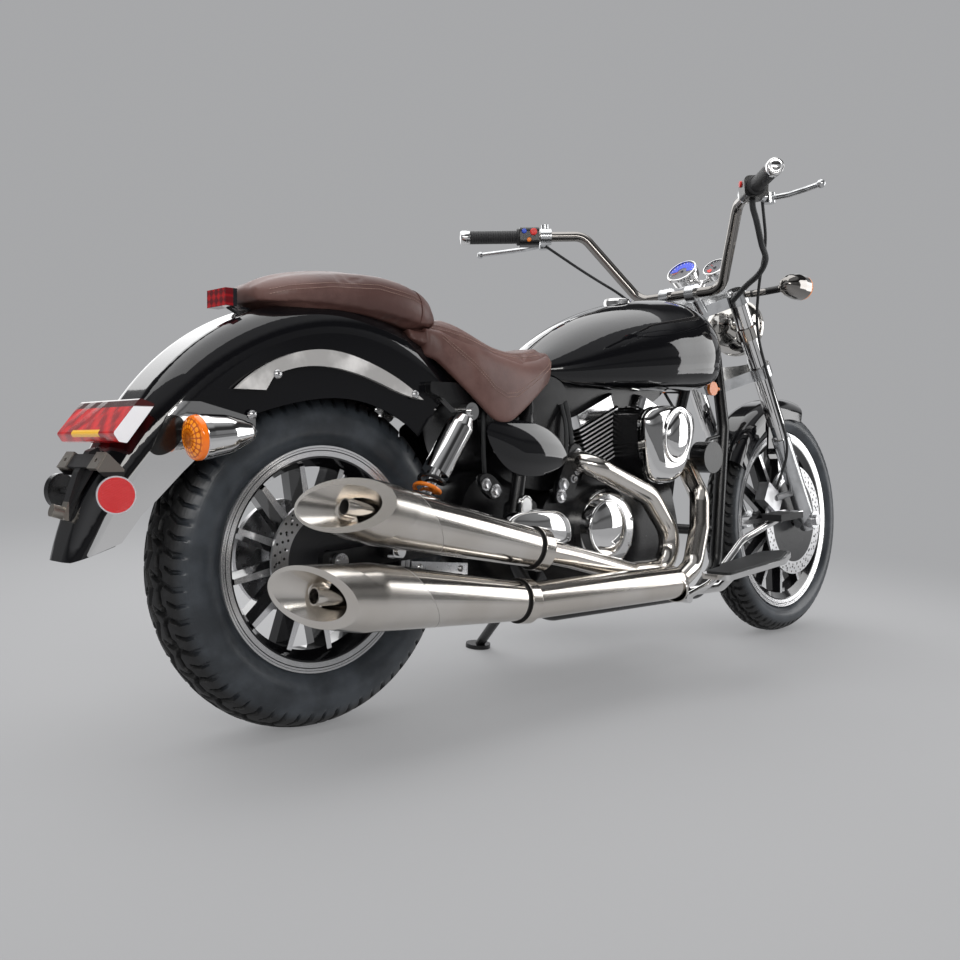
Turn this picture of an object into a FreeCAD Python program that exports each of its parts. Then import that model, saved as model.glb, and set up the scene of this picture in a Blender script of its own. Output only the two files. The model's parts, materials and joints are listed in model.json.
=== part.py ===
import FreeCAD, Part
import math
import os

# Cruiser motorcycle. Every piece is drawn on the upright machine: X forward from the rear
# axle, Y to the left, Z up from the ground, millimetres. The steered assembly is then
# turned about the steering axis, and the whole machine is leaned onto its side stand.

# Wheels and stance
WHEELBASE = 1567.0
REAR_TYRE_R = 307.5
REAR_TYRE_HALF = 65.0
REAR_CROWN_R = 72.0
REAR_RIM_R = 204.0
REAR_RIM_HALF = 52.0
FRONT_TYRE_R = 309.5
FRONT_TYRE_HALF = 46.0
FRONT_CROWN_R = 50.0
FRONT_RIM_R = 242.5
FRONT_RIM_HALF = 34.0
TYRE_WALL = 9.0
SPOKES = 12
AXLE_R = 10.0
RUN = 0.05
LEAN = 5.0
STEER = 3.7

# Steering head and fork
RAKE = 31.3
TRAIL = 120.0
FORK_HALF = 102.0
FORK_TUBE_R = 18.5
FORK_COVER_R = 22.0
SLIDER_R = 24.0
STEM_R = 16.0
HEAD_TUBE_R = 27.0
MAIN_TUBE_R = 26.0
UPPER_CLAMP_Z = 852.0
SIGNAL_Y = 252.0
LOWER_CLAMP_Z = 674.0
CLAMP_T = 30.0
YOKE_BACK = 28.0

# Handlebar
BAR_R = 12.7
GRIP_R = 16.5
GRIP_L = 118.0
BAR_END_L = 24.0
BAR_BACK = 1120.0
BAR_RISE = 891.0
BAR_TOP = 1062.0
LEVER_REACH = 108.0

# Bodywork
TANK_HALF = 170.0
FENDER_R = 462.0
FENDER_HALF = 98.0
FENDER_T = 3.0
STAY_T = 3.0
TAIL_LIGHT_HALF = 105.0
REAR_SIGNAL_X = -295.0
REAR_SIGNAL_Y = 142.0
FRONT_FENDER_R = 335.0
FRONT_FENDER_HALF = 57.0
HEADLIGHT_R = 76.0
SEAT_GAP = 0.4

# Engine
CRANK_X = 830.0
CRANK_Z = 335.0
V_HALF_ANGLE = 22.5
FIN_COUNT = 11
FIN_T = 3.0
FIN_PITCH = 9.5
COVER_S = 264.3

# Exhaust
HEADER_R = 23.5
BIG_PIPE_R = 36.0
MUFFLER_FRONT_R = 36.5
MUFFLER_REAR_R = 55.0
CLAMP_BAND_R = 43.0
SLEEVE_T = 1.5
LIP_W = 9.0
OUTLET_R = 15.0
PIPE_WALL = 2.0
EXHAUST_Y = -226.0

# Rear suspension
PIVOT_X = 440.0
PIVOT_Z = 330.0
ARM_IN = 88.0
ARM_T = 14.0
CHAIN_Y = 77.0
SHOCK_Y = 129.0
SHOCK_R = 27.0
SHOCK_EYE = 13.0
DAMPER_R = 12.0

# Holes and pins
MIRROR_HOLE_R = 4.25
PLATE_HOLE_R = 3.25
PLATE_HOLE_Y = 57.0
PLATE_X = -419.5
PLATE_Z = 488.0
PLATE_TILT = 34.0
PLATE_BAR_T = 6.0
STAND_PIN_R = 7.0
STAND_LEG_R = 11.0
STAND_PAD_T = 10.0
SEAT = 0.2

V = FreeCAD.Vector
ORIGIN = V(0, 0, 0)
AXIS_X = V(1, 0, 0)
AXIS_Y = V(0, 1, 0)
AXIS_Z = V(0, 0, 1)
RAKE_RAD = math.radians(RAKE)
HEAD_DIR = V(-math.sin(RAKE_RAD), 0, math.cos(RAKE_RAD))
HEAD_FWD = V(math.cos(RAKE_RAD), 0, math.sin(RAKE_RAD))
GROUND_POINT = V(WHEELBASE + TRAIL, 0, 0)
FRONT_CENTRE = V(WHEELBASE, 0, FRONT_TYRE_R)
REAR_CENTRE = V(0, 0, REAR_TYRE_R)
FORK_OFFSET = FRONT_TYRE_R * math.sin(RAKE_RAD) - TRAIL * math.cos(RAKE_RAD)
SIGNAL_DIR = V(0.9945, 0, 0.1045)
REFLECTOR_TURN = math.radians(20)
PLATE_IN = V(math.cos(math.radians(PLATE_TILT)), 0, -math.sin(math.radians(PLATE_TILT)))
SHOCK_TOP = V(282, 0, 577)
SHOCK_FOOT = V(105, 0, 322)
STAND_PIVOT = V(600, 128, 158)
AIR_RADII = [10, 24, 24, 36, 24, 22, 14, 24]


# Tools for shapes

def head_point(z, side=0.0, ahead=0.0):
    """Point on the steering axis at height z, moved to the left and ahead of the axis."""
    along = z / math.cos(RAKE_RAD)
    return GROUND_POINT + HEAD_DIR * along + HEAD_FWD * ahead + AXIS_Y * side


def rounded_edges(points, radii, closed=False):
    """Straight edges through the points, with a tangent arc of its radius at each corner."""
    count = len(points)
    if not isinstance(radii, (list, tuple)):
        radii = [radii] * count
    starts = []
    edges = []
    for i in range(count):
        p = points[i]
        if (not closed and i in (0, count - 1)) or radii[i] == 0:
            starts.append((p, None, p))
            continue
        back = (points[i - 1] - p).normalize()
        ahead = (points[(i + 1) % count] - p).normalize()
        turn = math.pi - back.getAngle(ahead)
        if turn < 1e-4:
            starts.append((p, None, p))
            continue
        reach = radii[i] * math.tan(turn / 2)
        middle = (back + ahead).normalize() * (radii[i] / math.cos(turn / 2) - radii[i])
        starts.append((p + back * reach, p + middle, p + ahead * reach))
    last = count if closed else count - 1
    for i in range(count):
        enter, mid, leave = starts[i]
        if mid is not None:
            edges.append(Part.Arc(enter, mid, leave).toShape())
        if i < last:
            following = starts[(i + 1) % count][0]
            if (following - leave).Length > 1e-6:
                edges.append(Part.LineSegment(leave, following).toShape())
    return edges


def tube(points, bend, radius):
    """Round bar along straight runs joined by tangent arcs."""
    path = Part.Wire(rounded_edges(points, bend))
    start = (points[1] - points[0]).normalize()
    ring = Part.Wire(Part.makeCircle(radius, points[0], start))
    return path.makePipeShell([ring], True, False)


def wide_bends(points):
    """Largest arcs that fit at the corners of a route."""
    radii = [0]
    for i in range(1, len(points) - 1):
        back = points[i - 1] - points[i]
        ahead = points[i + 1] - points[i]
        turn = math.pi - back.getAngle(ahead)
        radii.append(0.46 * min(back.Length, ahead.Length) / math.tan(turn / 2))
    return radii + [0]


def hollow_tube(points, bend, radius, wall):
    return tube(points, bend, radius).cut(tube(points, bend, radius - wall))


def plate(corners, y_from, y_to, radii=0.0):
    """Plate with an XZ outline of rounded corners, between two Y values."""
    points = [V(x, y_from, z) for x, z in corners]
    face = Part.Face(Part.Wire(rounded_edges(points, radii, True)))
    return face.extrude(V(0, y_to - y_from, 0))


def slab(corners, z_from, z_to, radii=0.0):
    """Plate with an XY outline of rounded corners, between two Z values."""
    points = [V(x, y, z_from) for x, y in corners]
    face = Part.Face(Part.Wire(rounded_edges(points, radii, True)))
    return face.extrude(V(0, 0, z_to - z_from))


def ring(profile, centre, radii=0.0):
    """Solid turned about the Y line through centre from (radius, y) points."""
    points = [V(r, y, 0) for r, y in profile]
    face = Part.Face(Part.Wire(rounded_edges(points, radii, True)))
    turned = face.revolve(ORIGIN, AXIS_Y, 360)
    turned.translate(centre)
    return turned


def turned(profile, base, direction, radii=0.0):
    """Solid turned about a line from (radius, height) points, height 0 at base."""
    points = [V(r, 0, h) for r, h in profile]
    face = Part.Face(Part.Wire(rounded_edges(points, radii, True)))
    body = face.revolve(ORIGIN, AXIS_Z, 360)
    body.Placement = FreeCAD.Placement(base, FreeCAD.Rotation(AXIS_Z, direction))
    return body


def rod(start, end, radius):
    return Part.makeCylinder(radius, (end - start).Length, start, end - start)


def loft(sections):
    """Smooth solid through closed sections, each a list of edge point lists."""
    wires = []
    for section in sections:
        edges = []
        for points in section:
            curve = Part.BSplineCurve()
            curve.interpolate(points)
            edges.append(curve.toShape())
        wires.append(Part.Wire(edges))
    return Part.makeLoft(wires, True, False)


def put(shape, base, rotation=None):
    """Shape moved as a whole: turned about the origin, then carried to base."""
    placement = FreeCAD.Placement(base, rotation or FreeCAD.Rotation())
    return shape.transformed(placement.toMatrix(), True)


def mirrored(shape):
    return shape.mirror(ORIGIN, AXIS_Y)


def both_sides(shape):
    return Part.makeCompound([shape, mirrored(shape)])


def fuse(shapes):
    first = shapes[0]
    return first.multiFuse(shapes[1:]).removeSplitter()


def local_box(dx, dy, dz, centre, rotation=None):
    """Box about its centre, turned by a rotation."""
    box = Part.makeBox(dx, dy, dz, V(-dx / 2, -dy / 2, -dz / 2))
    box.Placement = FreeCAD.Placement(centre, rotation or FreeCAD.Rotation())
    return box


# Wheels

def make_tyre(radius, half, crown, rim_r, rim_half, centre):
    """Hollow casing: a crown arc, round shoulders and flanks down to the beads."""
    drop = crown - math.sqrt(crown ** 2 - (half * 0.72) ** 2)
    shoulder_r = radius - drop
    bead_r = rim_r - 12
    bead = rim_half - 7.1
    mid_r = (shoulder_r + rim_r) / 2 + 4
    inner = TYRE_WALL
    crown_in = crown - inner * 1.4

    def side(sign, grow):
        return [V(rim_r + 1, sign * (rim_half - 5.3 - grow), 0),
                V(mid_r, sign * (half - grow), 0),
                V(shoulder_r - grow * 0.8, sign * (half * 0.72 - grow * 0.3), 0)]

    right = side(-1, 0)
    left = side(1, 0)
    inner_right = side(-1, inner)
    inner_left = side(1, inner)
    top_in = radius - crown + crown_in
    edges = [Part.Arc(right[0], right[1], right[2]).toShape(),
             Part.Arc(right[2], V(radius, 0, 0), left[2]).toShape(),
             Part.Arc(left[2], left[1], left[0]).toShape(),
             Part.LineSegment(left[0], V(bead_r, bead, 0)).toShape(),
             Part.LineSegment(V(bead_r, bead, 0), V(bead_r, bead - 12, 0)).toShape(),
             Part.LineSegment(V(bead_r, bead - 12, 0), inner_left[0]).toShape(),
             Part.Arc(inner_left[0], inner_left[1], inner_left[2]).toShape(),
             Part.Arc(inner_left[2], V(top_in, 0, 0), inner_right[2]).toShape(),
             Part.Arc(inner_right[2], inner_right[1], inner_right[0]).toShape(),
             Part.LineSegment(inner_right[0], V(bead_r, 12 - bead, 0)).toShape(),
             Part.LineSegment(V(bead_r, 12 - bead, 0), V(bead_r, -bead, 0)).toShape(),
             Part.LineSegment(V(bead_r, -bead, 0), right[0]).toShape()]
    casing = Part.Face(Part.Wire(edges)).revolve(ORIGIN, AXIS_Y, 360)
    casing.translate(centre)
    return casing


def make_cast_wheel(rim_r, rim_half, hub_r, hub_half, centre, phase):
    """Drop-centre rim, hub and tapered spokes in one casting, bored for its axle."""
    seat_r = rim_r - 12.3
    well_r = rim_r - 32
    lip = 5.0
    bead = rim_half - lip - 1.6
    rim = [(rim_r, -rim_half), (rim_r, -rim_half + lip), (seat_r, -bead),
           (seat_r, 16 - bead), (well_r, 27 - bead), (well_r, bead - 27),
           (seat_r, bead - 16), (seat_r, bead), (rim_r, rim_half - lip), (rim_r, rim_half),
           (rim_r - 22, rim_half - 3), (well_r - 6, 20), (well_r - 6, -20),
           (rim_r - 22, 3 - rim_half)]
    parts = [ring(rim, ORIGIN)]
    hub = [(AXLE_R + RUN, -hub_half), (hub_r, -hub_half), (hub_r, hub_half),
           (AXLE_R + RUN, hub_half)]
    parts.append(ring(hub, ORIGIN, [0, 6, 6, 0]))
    foot, head = 15.0, 9.0
    spoke_len = well_r - 2
    for i in range(SPOKES):
        spoke = loft_spoke(hub_r - 6, spoke_len, foot, head, hub_half * 0.55, rim_half * 0.62)
        spoke.rotate(ORIGIN, AXIS_Y, -(phase + i * 360.0 / SPOKES))
        parts.append(spoke)
    wheel = fuse(parts)
    wheel.translate(centre)
    return wheel


def loft_spoke(r0, r1, half0, half1, depth0, depth1):
    """Tapered spoke along +X from radius r0 to r1."""
    wires = []
    for r, half, depth in ((r0, half0, depth0), (r1, half1, depth1)):
        corners = [V(r, -depth, -half * 0.55), V(r, -depth, half * 0.55),
                   V(r, 0, half), V(r, depth, half * 0.55), V(r, depth, -half * 0.55),
                   V(r, 0, -half)]
        wires.append(Part.makePolygon(corners + corners[:1]))
    return Part.makeLoft(wires, True, True)


def make_disc(radius, inner, thick, y, centre, holes, hub_half):
    """Brake disc on a bell that reaches to the hub, with a pattern of drilled holes."""
    face = y - thick / 2
    band = ring([(AXLE_R + 8, face), (radius, face), (radius, y + thick / 2),
                 (inner, y + thick / 2), (inner, -hub_half - 0.2), (AXLE_R + 8, -hub_half - 0.2)],
                ORIGIN)
    cuts = []
    for i in range(holes):
        angle = 2 * math.pi * i / holes
        r = radius - 11 - 8 * (i % 3)
        spot = V(r * math.cos(angle), y - thick, r * math.sin(angle))
        cuts.append(Part.makeCylinder(3.2, thick * 2, spot, AXIS_Y))
    disc = band.cut(Part.makeCompound(cuts))
    disc.translate(centre)
    return disc


# Frame

def make_backbone():
    """Head tube, main tube under the tank and the two seat rails."""
    head = rod(head_point(LOWER_CLAMP_Z + 22), head_point(UPPER_CLAMP_Z - 20), HEAD_TUBE_R)
    bore = rod(head_point(LOWER_CLAMP_Z), head_point(UPPER_CLAMP_Z), STEM_R + RUN)
    main = tube([head_point(775), V(1090, 0, 712), V(560, 0, 640)], 120, MAIN_TUBE_R)
    rails = []
    for side in (-1, 1):
        rails.append(tube([V(600, side * 20, 626), V(520, side * 66, 608),
                           V(330, side * 107, 586)], 60, 12))
        lug = plate([(268, 575), (345, 562), (345, 606), (262, 632), (200, 632), (200, 612),
                     (235, 600)],
                    side * (FENDER_HALF + 0.3), side * (SHOCK_Y - SHOCK_EYE - SEAT), 6)
        rails.append(lug)
    return fuse([head, main] + rails).cut(bore)


def make_cradle(backbone):
    """Two lower tubes round the engine, cross tubes, pivot plates and the side stand's pin."""
    shapes = []
    for side in (-1, 1):
        run = [V(1226, side * 36, 742), V(1208, side * 74, 560), V(1160, side * 88, 215),
               V(1070, side * 100, 158), V(520, side * 100, 158), V(405, side * 118, 300),
               V(455, side * 118, 560), V(485, side * 84, 605)]
        shapes.append(tube(run, [0, 90, 60, 60, 90, 90, 60, 0], 15))
    cross = [rod(V(1172, -86, 300), V(1172, 86, 300), 13),
             rod(V(560, -99, 158), V(560, 99, 158), 13)]
    plates = []
    for side in (-1, 1):
        plates.append(plate([(395, 270), (475, 270), (490, 400), (405, 400)],
                            side * 103, side * 115, 14))
    lug = plate([(575, 140), (628, 140), (640, 176), (560, 176)], 108, STAND_PIVOT.y - 9.4, 8)
    pin = [rod(STAND_PIVOT - AXIS_Y * 16, STAND_PIVOT + AXIS_Y * 12, STAND_PIN_R),
           rod(STAND_PIVOT + AXIS_Y * 9.4, STAND_PIVOT + AXIS_Y * 15, 12)]
    frame = fuse(shapes + cross + plates + [lug] + pin).cut(backbone)
    pivot = rod(V(PIVOT_X, -150, PIVOT_Z), V(PIVOT_X, 150, PIVOT_Z), AXLE_R + RUN)
    return frame.cut(pivot)


# Steering assembly

def make_clamps():
    """Upper and lower fork clamps on the steering stem, with the posts for the handlebar."""
    parts = []
    for z in (UPPER_CLAMP_Z, LOWER_CLAMP_Z):
        low = head_point(z) - HEAD_DIR * (CLAMP_T / 2)
        local = [(-YOKE_BACK, -20), (FORK_OFFSET - 22, -FORK_HALF), (FORK_OFFSET + 22, -FORK_HALF),
                 (FORK_OFFSET + 10, -40), (FORK_OFFSET + 10, 40), (FORK_OFFSET + 22, FORK_HALF),
                 (FORK_OFFSET - 22, FORK_HALF), (-YOKE_BACK, 20)]
        points = [V(x, y, 0) for x, y in local]
        face = Part.Face(Part.Wire(rounded_edges(points, [18, 0, 0, 20, 20, 0, 0, 18], True)))
        yoke = face.extrude(V(0, 0, CLAMP_T))
        turn = FreeCAD.Rotation(HEAD_FWD, AXIS_Y, HEAD_DIR, "XYZ")
        yoke.Placement = FreeCAD.Placement(low, turn)
        parts.append(yoke)
    for side in (-1, 1):
        for z in (UPPER_CLAMP_Z, LOWER_CLAMP_Z):
            a = head_point(z, side * FORK_HALF, FORK_OFFSET) - HEAD_DIR * (CLAMP_T / 2)
            parts.append(rod(a, a + HEAD_DIR * CLAMP_T, FORK_COVER_R + 8))
    stem = rod(head_point(LOWER_CLAMP_Z), head_point(UPPER_CLAMP_Z), STEM_R)
    yokes = fuse(parts + [stem] + make_risers())
    holes = [rod(V(BAR_BACK, -80, BAR_RISE), V(BAR_BACK, 80, BAR_RISE), BAR_R + RUN)]
    for side in (-1, 1):
        start = head_point(LOWER_CLAMP_Z - 40, side * FORK_HALF, FORK_OFFSET)
        end = head_point(UPPER_CLAMP_Z + 60, side * FORK_HALF, FORK_OFFSET)
        holes.append(rod(start, end, FORK_TUBE_R + RUN))
    return yokes.cut(Part.makeCompound(holes))


def make_risers():
    """Two posts that hold the handlebar above the upper clamp, with split caps."""
    posts = []
    for side in (-1, 1):
        foot = head_point(UPPER_CLAMP_Z, side * 38, -6)
        hold = V(BAR_BACK, side * 38, BAR_RISE)
        cap = Part.makeCylinder(BAR_R + 9, 26, hold - V(0, 13, 0), AXIS_Y)
        posts.append(fuse([rod(foot, hold, 14), cap]))
    return posts


def bar_points(side):
    return [V(BAR_BACK, 0, BAR_RISE), V(BAR_BACK, side * 120, BAR_RISE), V(1022, side * 226, BAR_TOP),
            V(812, side * 429, BAR_TOP)]


def make_handlebar():
    right = bar_points(-1)
    left = bar_points(1)
    route = [right[3], right[2], right[1], left[1], left[2], left[3]]
    return tube(route, [0, 48, 48, 48, 48, 0], BAR_R)


def bar_frame(side):
    """End point of the bar, and the direction from it inwards."""
    pts = bar_points(side)
    return pts[3], (pts[2] - pts[3]).normalize()


def make_grips():
    """Grips with flanged inner ends and the weights that close their outer ends."""
    shapes = []
    for side in (-1, 1):
        end, inward = bar_frame(side)
        profile = [(0, -BAR_END_L), (GRIP_R - 6, -BAR_END_L), (GRIP_R, 5 - BAR_END_L),
                   (GRIP_R, GRIP_L), (GRIP_R + 5, GRIP_L + 3), (GRIP_R + 5, GRIP_L + 8),
                   (BAR_R + RUN, GRIP_L + 8), (BAR_R + RUN, -RUN), (0, -RUN)]
        shapes.append(turned(profile, end, inward))
    return Part.makeCompound(shapes)


def make_switchgear():
    """Switch housings clamped on the bar beside each grip."""
    shapes = []
    for side in (-1, 1):
        end, inward = bar_frame(side)
        centre = end + inward * (GRIP_L + 8.5 + 25)
        turn = FreeCAD.Rotation(inward, AXIS_Z.cross(inward), AXIS_Z, "XYZ")
        outline = [V(0, -25, -24), V(0, 25, -24), V(0, 27, 22), V(0, -27, 22)]
        face = Part.Face(Part.Wire(rounded_edges(outline, 12, True)))
        body = face.extrude(V(50, 0, 0))
        body.Placement = FreeCAD.Placement(centre - inward * 25, turn)
        bar = rod(centre - inward * 40, centre + inward * 40, BAR_R + RUN)
        shapes.append(body.cut(bar))
    return Part.makeCompound(shapes)


def perch(side):
    """Direction ahead of a grip, square to it, and the place of the lever perch on the bar."""
    end, inward = bar_frame(side)
    return V(-inward.y, inward.x, 0) * side, end + inward * (GRIP_L + 8.5 + 50 + 18)


def make_levers():
    """Lever perches on the bar with a mirror boss, and the levers with ball ends."""
    shapes = []
    for side in (-1, 1):
        end, inward = bar_frame(side)
        ahead, seat = perch(side)
        collar = rod(seat - inward * 14, seat + inward * 14, BAR_R + 8)
        pivot = seat + ahead * 46 - AXIS_Z * 12
        arm = rod(seat - AXIS_Z * 2, pivot, 11)
        hub = Part.makeCylinder(13, 22, pivot - AXIS_Z * 11, AXIS_Z)
        boss = Part.makeCylinder(10, 34, seat + ahead * 8 - AXIS_Z * 2, AXIS_Z)
        tip = end + inward * 30 + ahead * LEVER_REACH - AXIS_Z * 24
        blade = tube([pivot, pivot - inward * 46 + ahead * 30 - AXIS_Z * 4,
                      end + inward * 84 + ahead * (LEVER_REACH - 12) - AXIS_Z * 20, tip], 40, 6)
        ball = Part.makeSphere(9, tip)
        lever = fuse([collar, arm, hub, boss, blade, ball])
        bore = rod(seat - inward * 40, seat + inward * 40, BAR_R + RUN)
        hole = Part.makeCylinder(MIRROR_HOLE_R, 20, seat + ahead * 8 + AXIS_Z * 12, AXIS_Z)
        shapes.append(lever.cut(bore).cut(hole))
    return Part.makeCompound(shapes)


def mirror_seat(side):
    """Mouth of the mirror hole on a lever perch."""
    ahead, seat = perch(side)
    return seat + ahead * 8 + AXIS_Z * 32


def make_fork_tubes():
    """Sliding tubes with bright sleeves between the clamps and below the lower one."""
    shapes = []
    for side in (-1, 1):
        def at(z):
            return head_point(z, side * FORK_HALF, FORK_OFFSET)
        parts = [rod(at(478), at(UPPER_CLAMP_Z + 18), FORK_TUBE_R)]
        for z0, z1 in ((LOWER_CLAMP_Z + 13.2, UPPER_CLAMP_Z - 13.2), (540, LOWER_CLAMP_Z - 13.2)):
            parts.append(rod(at(z0), at(z1), FORK_COVER_R))
        shapes.append(fuse(parts))
    return Part.makeCompound(shapes)


def make_sliders():
    """Fork legs with the axle lugs at their feet."""
    shapes = []
    for side in (-1, 1):
        foot = V(WHEELBASE, side * FORK_HALF, FRONT_TYRE_R)
        low = foot - HEAD_DIR * 22
        top = foot + HEAD_DIR * 262
        leg = rod(low, top, SLIDER_R)
        lug = Part.makeCylinder(24, 52, foot - V(0, 26, 0), AXIS_Y)
        leg = fuse([leg, lug])
        bore = rod(foot + HEAD_DIR * 60, top, FORK_TUBE_R + RUN)
        hole = Part.makeCylinder(AXLE_R + RUN, 120, foot - V(0, 60, 0), AXIS_Y)
        shapes.append(leg.cut(bore).cut(hole))
    return Part.makeCompound(shapes)


def make_front_axle():
    half = FORK_HALF + 33
    bar = Part.makeCylinder(AXLE_R, 2 * half, FRONT_CENTRE - V(0, half, 0), AXIS_Y)
    nuts = []
    for side in (-1, 1):
        inner = FORK_HALF + 26.2
        base = FRONT_CENTRE + V(0, side * inner, 0)
        nuts.append(Part.makeCylinder(15, 9, base, V(0, side, 0)))
    return fuse([bar] + nuts)


def fender_shell(radius, half, thick, skirt, centre, start, end, flare=0.0):
    """Round-shouldered fender section turned through an angle about the wheel axle."""
    def wire(grow):
        r = radius - grow
        h = half - grow
        pts = [V(r - skirt, -h, 0), V(r, -h, 0), V(r, h, 0), V(r - skirt, h, 0)]
        return pts

    outer = wire(0)
    inner = wire(thick)
    corner = half * 0.62
    path = [inner[0] + V(thick, 0, 0), outer[0], outer[1], outer[2], outer[3],
            inner[3] + V(thick, 0, 0), inner[2], inner[1]]
    path[0] = V(outer[0].x, inner[0].y, 0)
    path[5] = V(outer[3].x, inner[3].y, 0)
    radii = [0, 0, corner, corner, 0, 0, corner - thick, corner - thick]
    face = Part.Face(Part.Wire(rounded_edges(path, radii, True)))
    face.rotate(ORIGIN, AXIS_Y, -start)
    shell = face.revolve(ORIGIN, AXIS_Y, -(end - start))
    shell.translate(centre)
    return shell


def make_front_fender(sliders):
    shell = fender_shell(FRONT_FENDER_R, FRONT_FENDER_HALF, FENDER_T, 58, FRONT_CENTRE, 76, 150)
    tabs = []
    for side in (-1, 1):
        tab = plate([(1436, 478), (1486, 478), (1536, 584), (1444, 584)],
                    side * (FRONT_FENDER_HALF - 0.5), side * (FRONT_FENDER_HALF + 5), 12)
        stub = rod(V(1452, side * (FRONT_FENDER_HALF + 2), 498), V(1452, side * 82, 498), 8)
        tabs += [tab, stub]
    return fuse([shell] + tabs).cut(sliders)


def make_headlight():
    """Round bucket with a rim, on two ears from the fork."""
    facing = V(math.cos(math.radians(3)), 0, -math.sin(math.radians(3)))
    base = V(1300, 0, 836)
    r = HEADLIGHT_R
    profile = [(0, 0), (r - 46, 4), (r - 22, 26), (r - 7, 60), (r - 4, 88), (r, 90), (r, 104),
               (r - 7, 104), (r - 7, 95), (0, 95)]
    bucket = turned(profile, base, facing, [0, 20, 40, 60, 0, 2, 4, 0, 0, 0])
    ears = []
    for side in (-1, 1):
        clip = head_point(770, side * FORK_HALF, FORK_OFFSET)
        collar = rod(clip - HEAD_DIR * 16, clip + HEAD_DIR * 16, FORK_COVER_R + 5)
        collar = collar.cut(rod(clip - HEAD_DIR * 20, clip + HEAD_DIR * 20, FORK_COVER_R + RUN))
        reach = rod(clip + HEAD_FWD * (FORK_COVER_R + 2) + V(0, -side * 6, 0),
                    V(1356, side * (HEADLIGHT_R - 12), 832), 7)
        ears += [collar, reach]
    return fuse([bucket] + ears)


def make_headlight_lens():
    facing = V(math.cos(math.radians(3)), 0, -math.sin(math.radians(3)))
    base = V(1300, 0, 836) + facing * 95.2
    r = HEADLIGHT_R - 7.3
    profile = [(0, 0), (r, 0), (r, 6), (r - 22, 12), (0, 15)]
    return turned(profile, base, facing, [0, 0, 0, 90, 0])


def make_gauges(clamps):
    """Two round instruments on a bracket ahead of the handlebar."""
    tilt = V(-0.72, 0, 0.694)
    shapes = []
    for x, y, z, r, depth in ((1200, 46, 970, 41, 44), (1209, -46, 968, 32, 40)):
        top = V(x, y, z)
        profile = [(0, 0), (r * 0.55, 0), (r * 0.9, 14), (r, depth - 8), (r, depth),
                   (r - 4, depth), (r - 4, depth - 4), (0, depth - 4)]
        shapes.append(turned(profile, top - tilt * depth, tilt, [0, 8, 8, 0, 3, 0, 0, 0]))
    foot = head_point(UPPER_CLAMP_Z, 0, 34) + HEAD_DIR * (CLAMP_T / 2)
    bridge = tube([V(1224, 46, 946), V(1228, 0, 934), V(1229, -46, 944)], 30, 7)
    leg = rod(foot, V(1228, 0, 934), 9)
    return fuse(shapes + [bridge, leg]).cut(clamps)


def make_front_signals(clamps):
    shapes = []
    for side in (-1, 1):
        centre = V(1232, side * SIGNAL_Y, 893)
        stalk = tube([head_point(UPPER_CLAMP_Z + 4, side * (FORK_HALF + 29), FORK_OFFSET),
                      V(1232, side * 186, 890), centre], 30, 8)
        profile = [(0, -48), (14, -46), (26, -24), (31, 8), (31, 34), (0, 34)]
        bullet = turned(profile, centre, AXIS_X, [0, 14, 40, 40, 0, 0])
        shapes.append(fuse([stalk, bullet]).cut(clamps))
    return Part.makeCompound(shapes)


def make_front_signal_lenses():
    shapes = []
    for side in (-1, 1):
        base = V(1232 + 34.1, side * SIGNAL_Y, 893)
        shapes.append(turned([(0, 0), (31, 0), (30, 8), (20, 15), (0, 18)], base, AXIS_X,
                             [0, 0, 6, 20, 0]))
    return Part.makeCompound(shapes)


# Bodywork

def tank_section(x, half, low, crease, widest, top):
    """Section across the tank: a full upper sweep and a tucked lower one, meeting in a crease."""
    bottom_half = half * 0.62
    rise = top - widest
    upper = [V(x, -half * 0.985, crease), V(x, -half, widest),
             V(x, -half * 0.8, widest + rise * 0.58), V(x, -half * 0.42, top - rise * 0.1),
             V(x, 0, top), V(x, half * 0.42, top - rise * 0.1),
             V(x, half * 0.8, widest + rise * 0.58), V(x, half, widest),
             V(x, half * 0.985, crease)]
    lower = [V(x, half * 0.985, crease), V(x, half * 0.9, low + (crease - low) * 0.3),
             V(x, bottom_half, low), V(x, 0, low), V(x, -bottom_half, low),
             V(x, -half * 0.9, low + (crease - low) * 0.3), V(x, -half * 0.985, crease)]
    return [upper, lower]


def make_tank():
    k = TANK_HALF / 170.0
    stations = [(556, 60, 655, 664, 676, 704), (600, 92, 644, 662, 682, 733),
                (690, 128, 638, 668, 694, 787), (800, 152, 638, 676, 712, 830),
                (900, 166, 640, 684, 722, 855), (1000, 170, 645, 694, 730, 867),
                (1070, 158, 656, 704, 738, 862), (1112, 124, 680, 716, 748, 840),
                (1132, 78, 706, 732, 760, 812)]
    sections = [tank_section(x, half * k, low, crease, wide, top)
                for x, half, low, crease, wide, top in stations]
    shell = loft(sections)
    route = [head_point(775), V(1090, 0, 712), V(500, 0, 631.8)]
    tunnel = fuse([tube(route, 120, MAIN_TUBE_R + SEAT_GAP), local_box(760, 68, 120, V(850, 0, 615))])
    cap = Part.makeCylinder(33 + 0.4, 40, V(880, 0, 838), AXIS_Z)
    return shell.cut(tunnel).cut(cap)


def make_tank_cap():
    return turned([(0, 0), (33, 0), (33, 14), (30, 20), (0, 22)], V(880, 0, 838.2), AXIS_Z,
                  [0, 0, 0, 4, 0])


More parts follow.
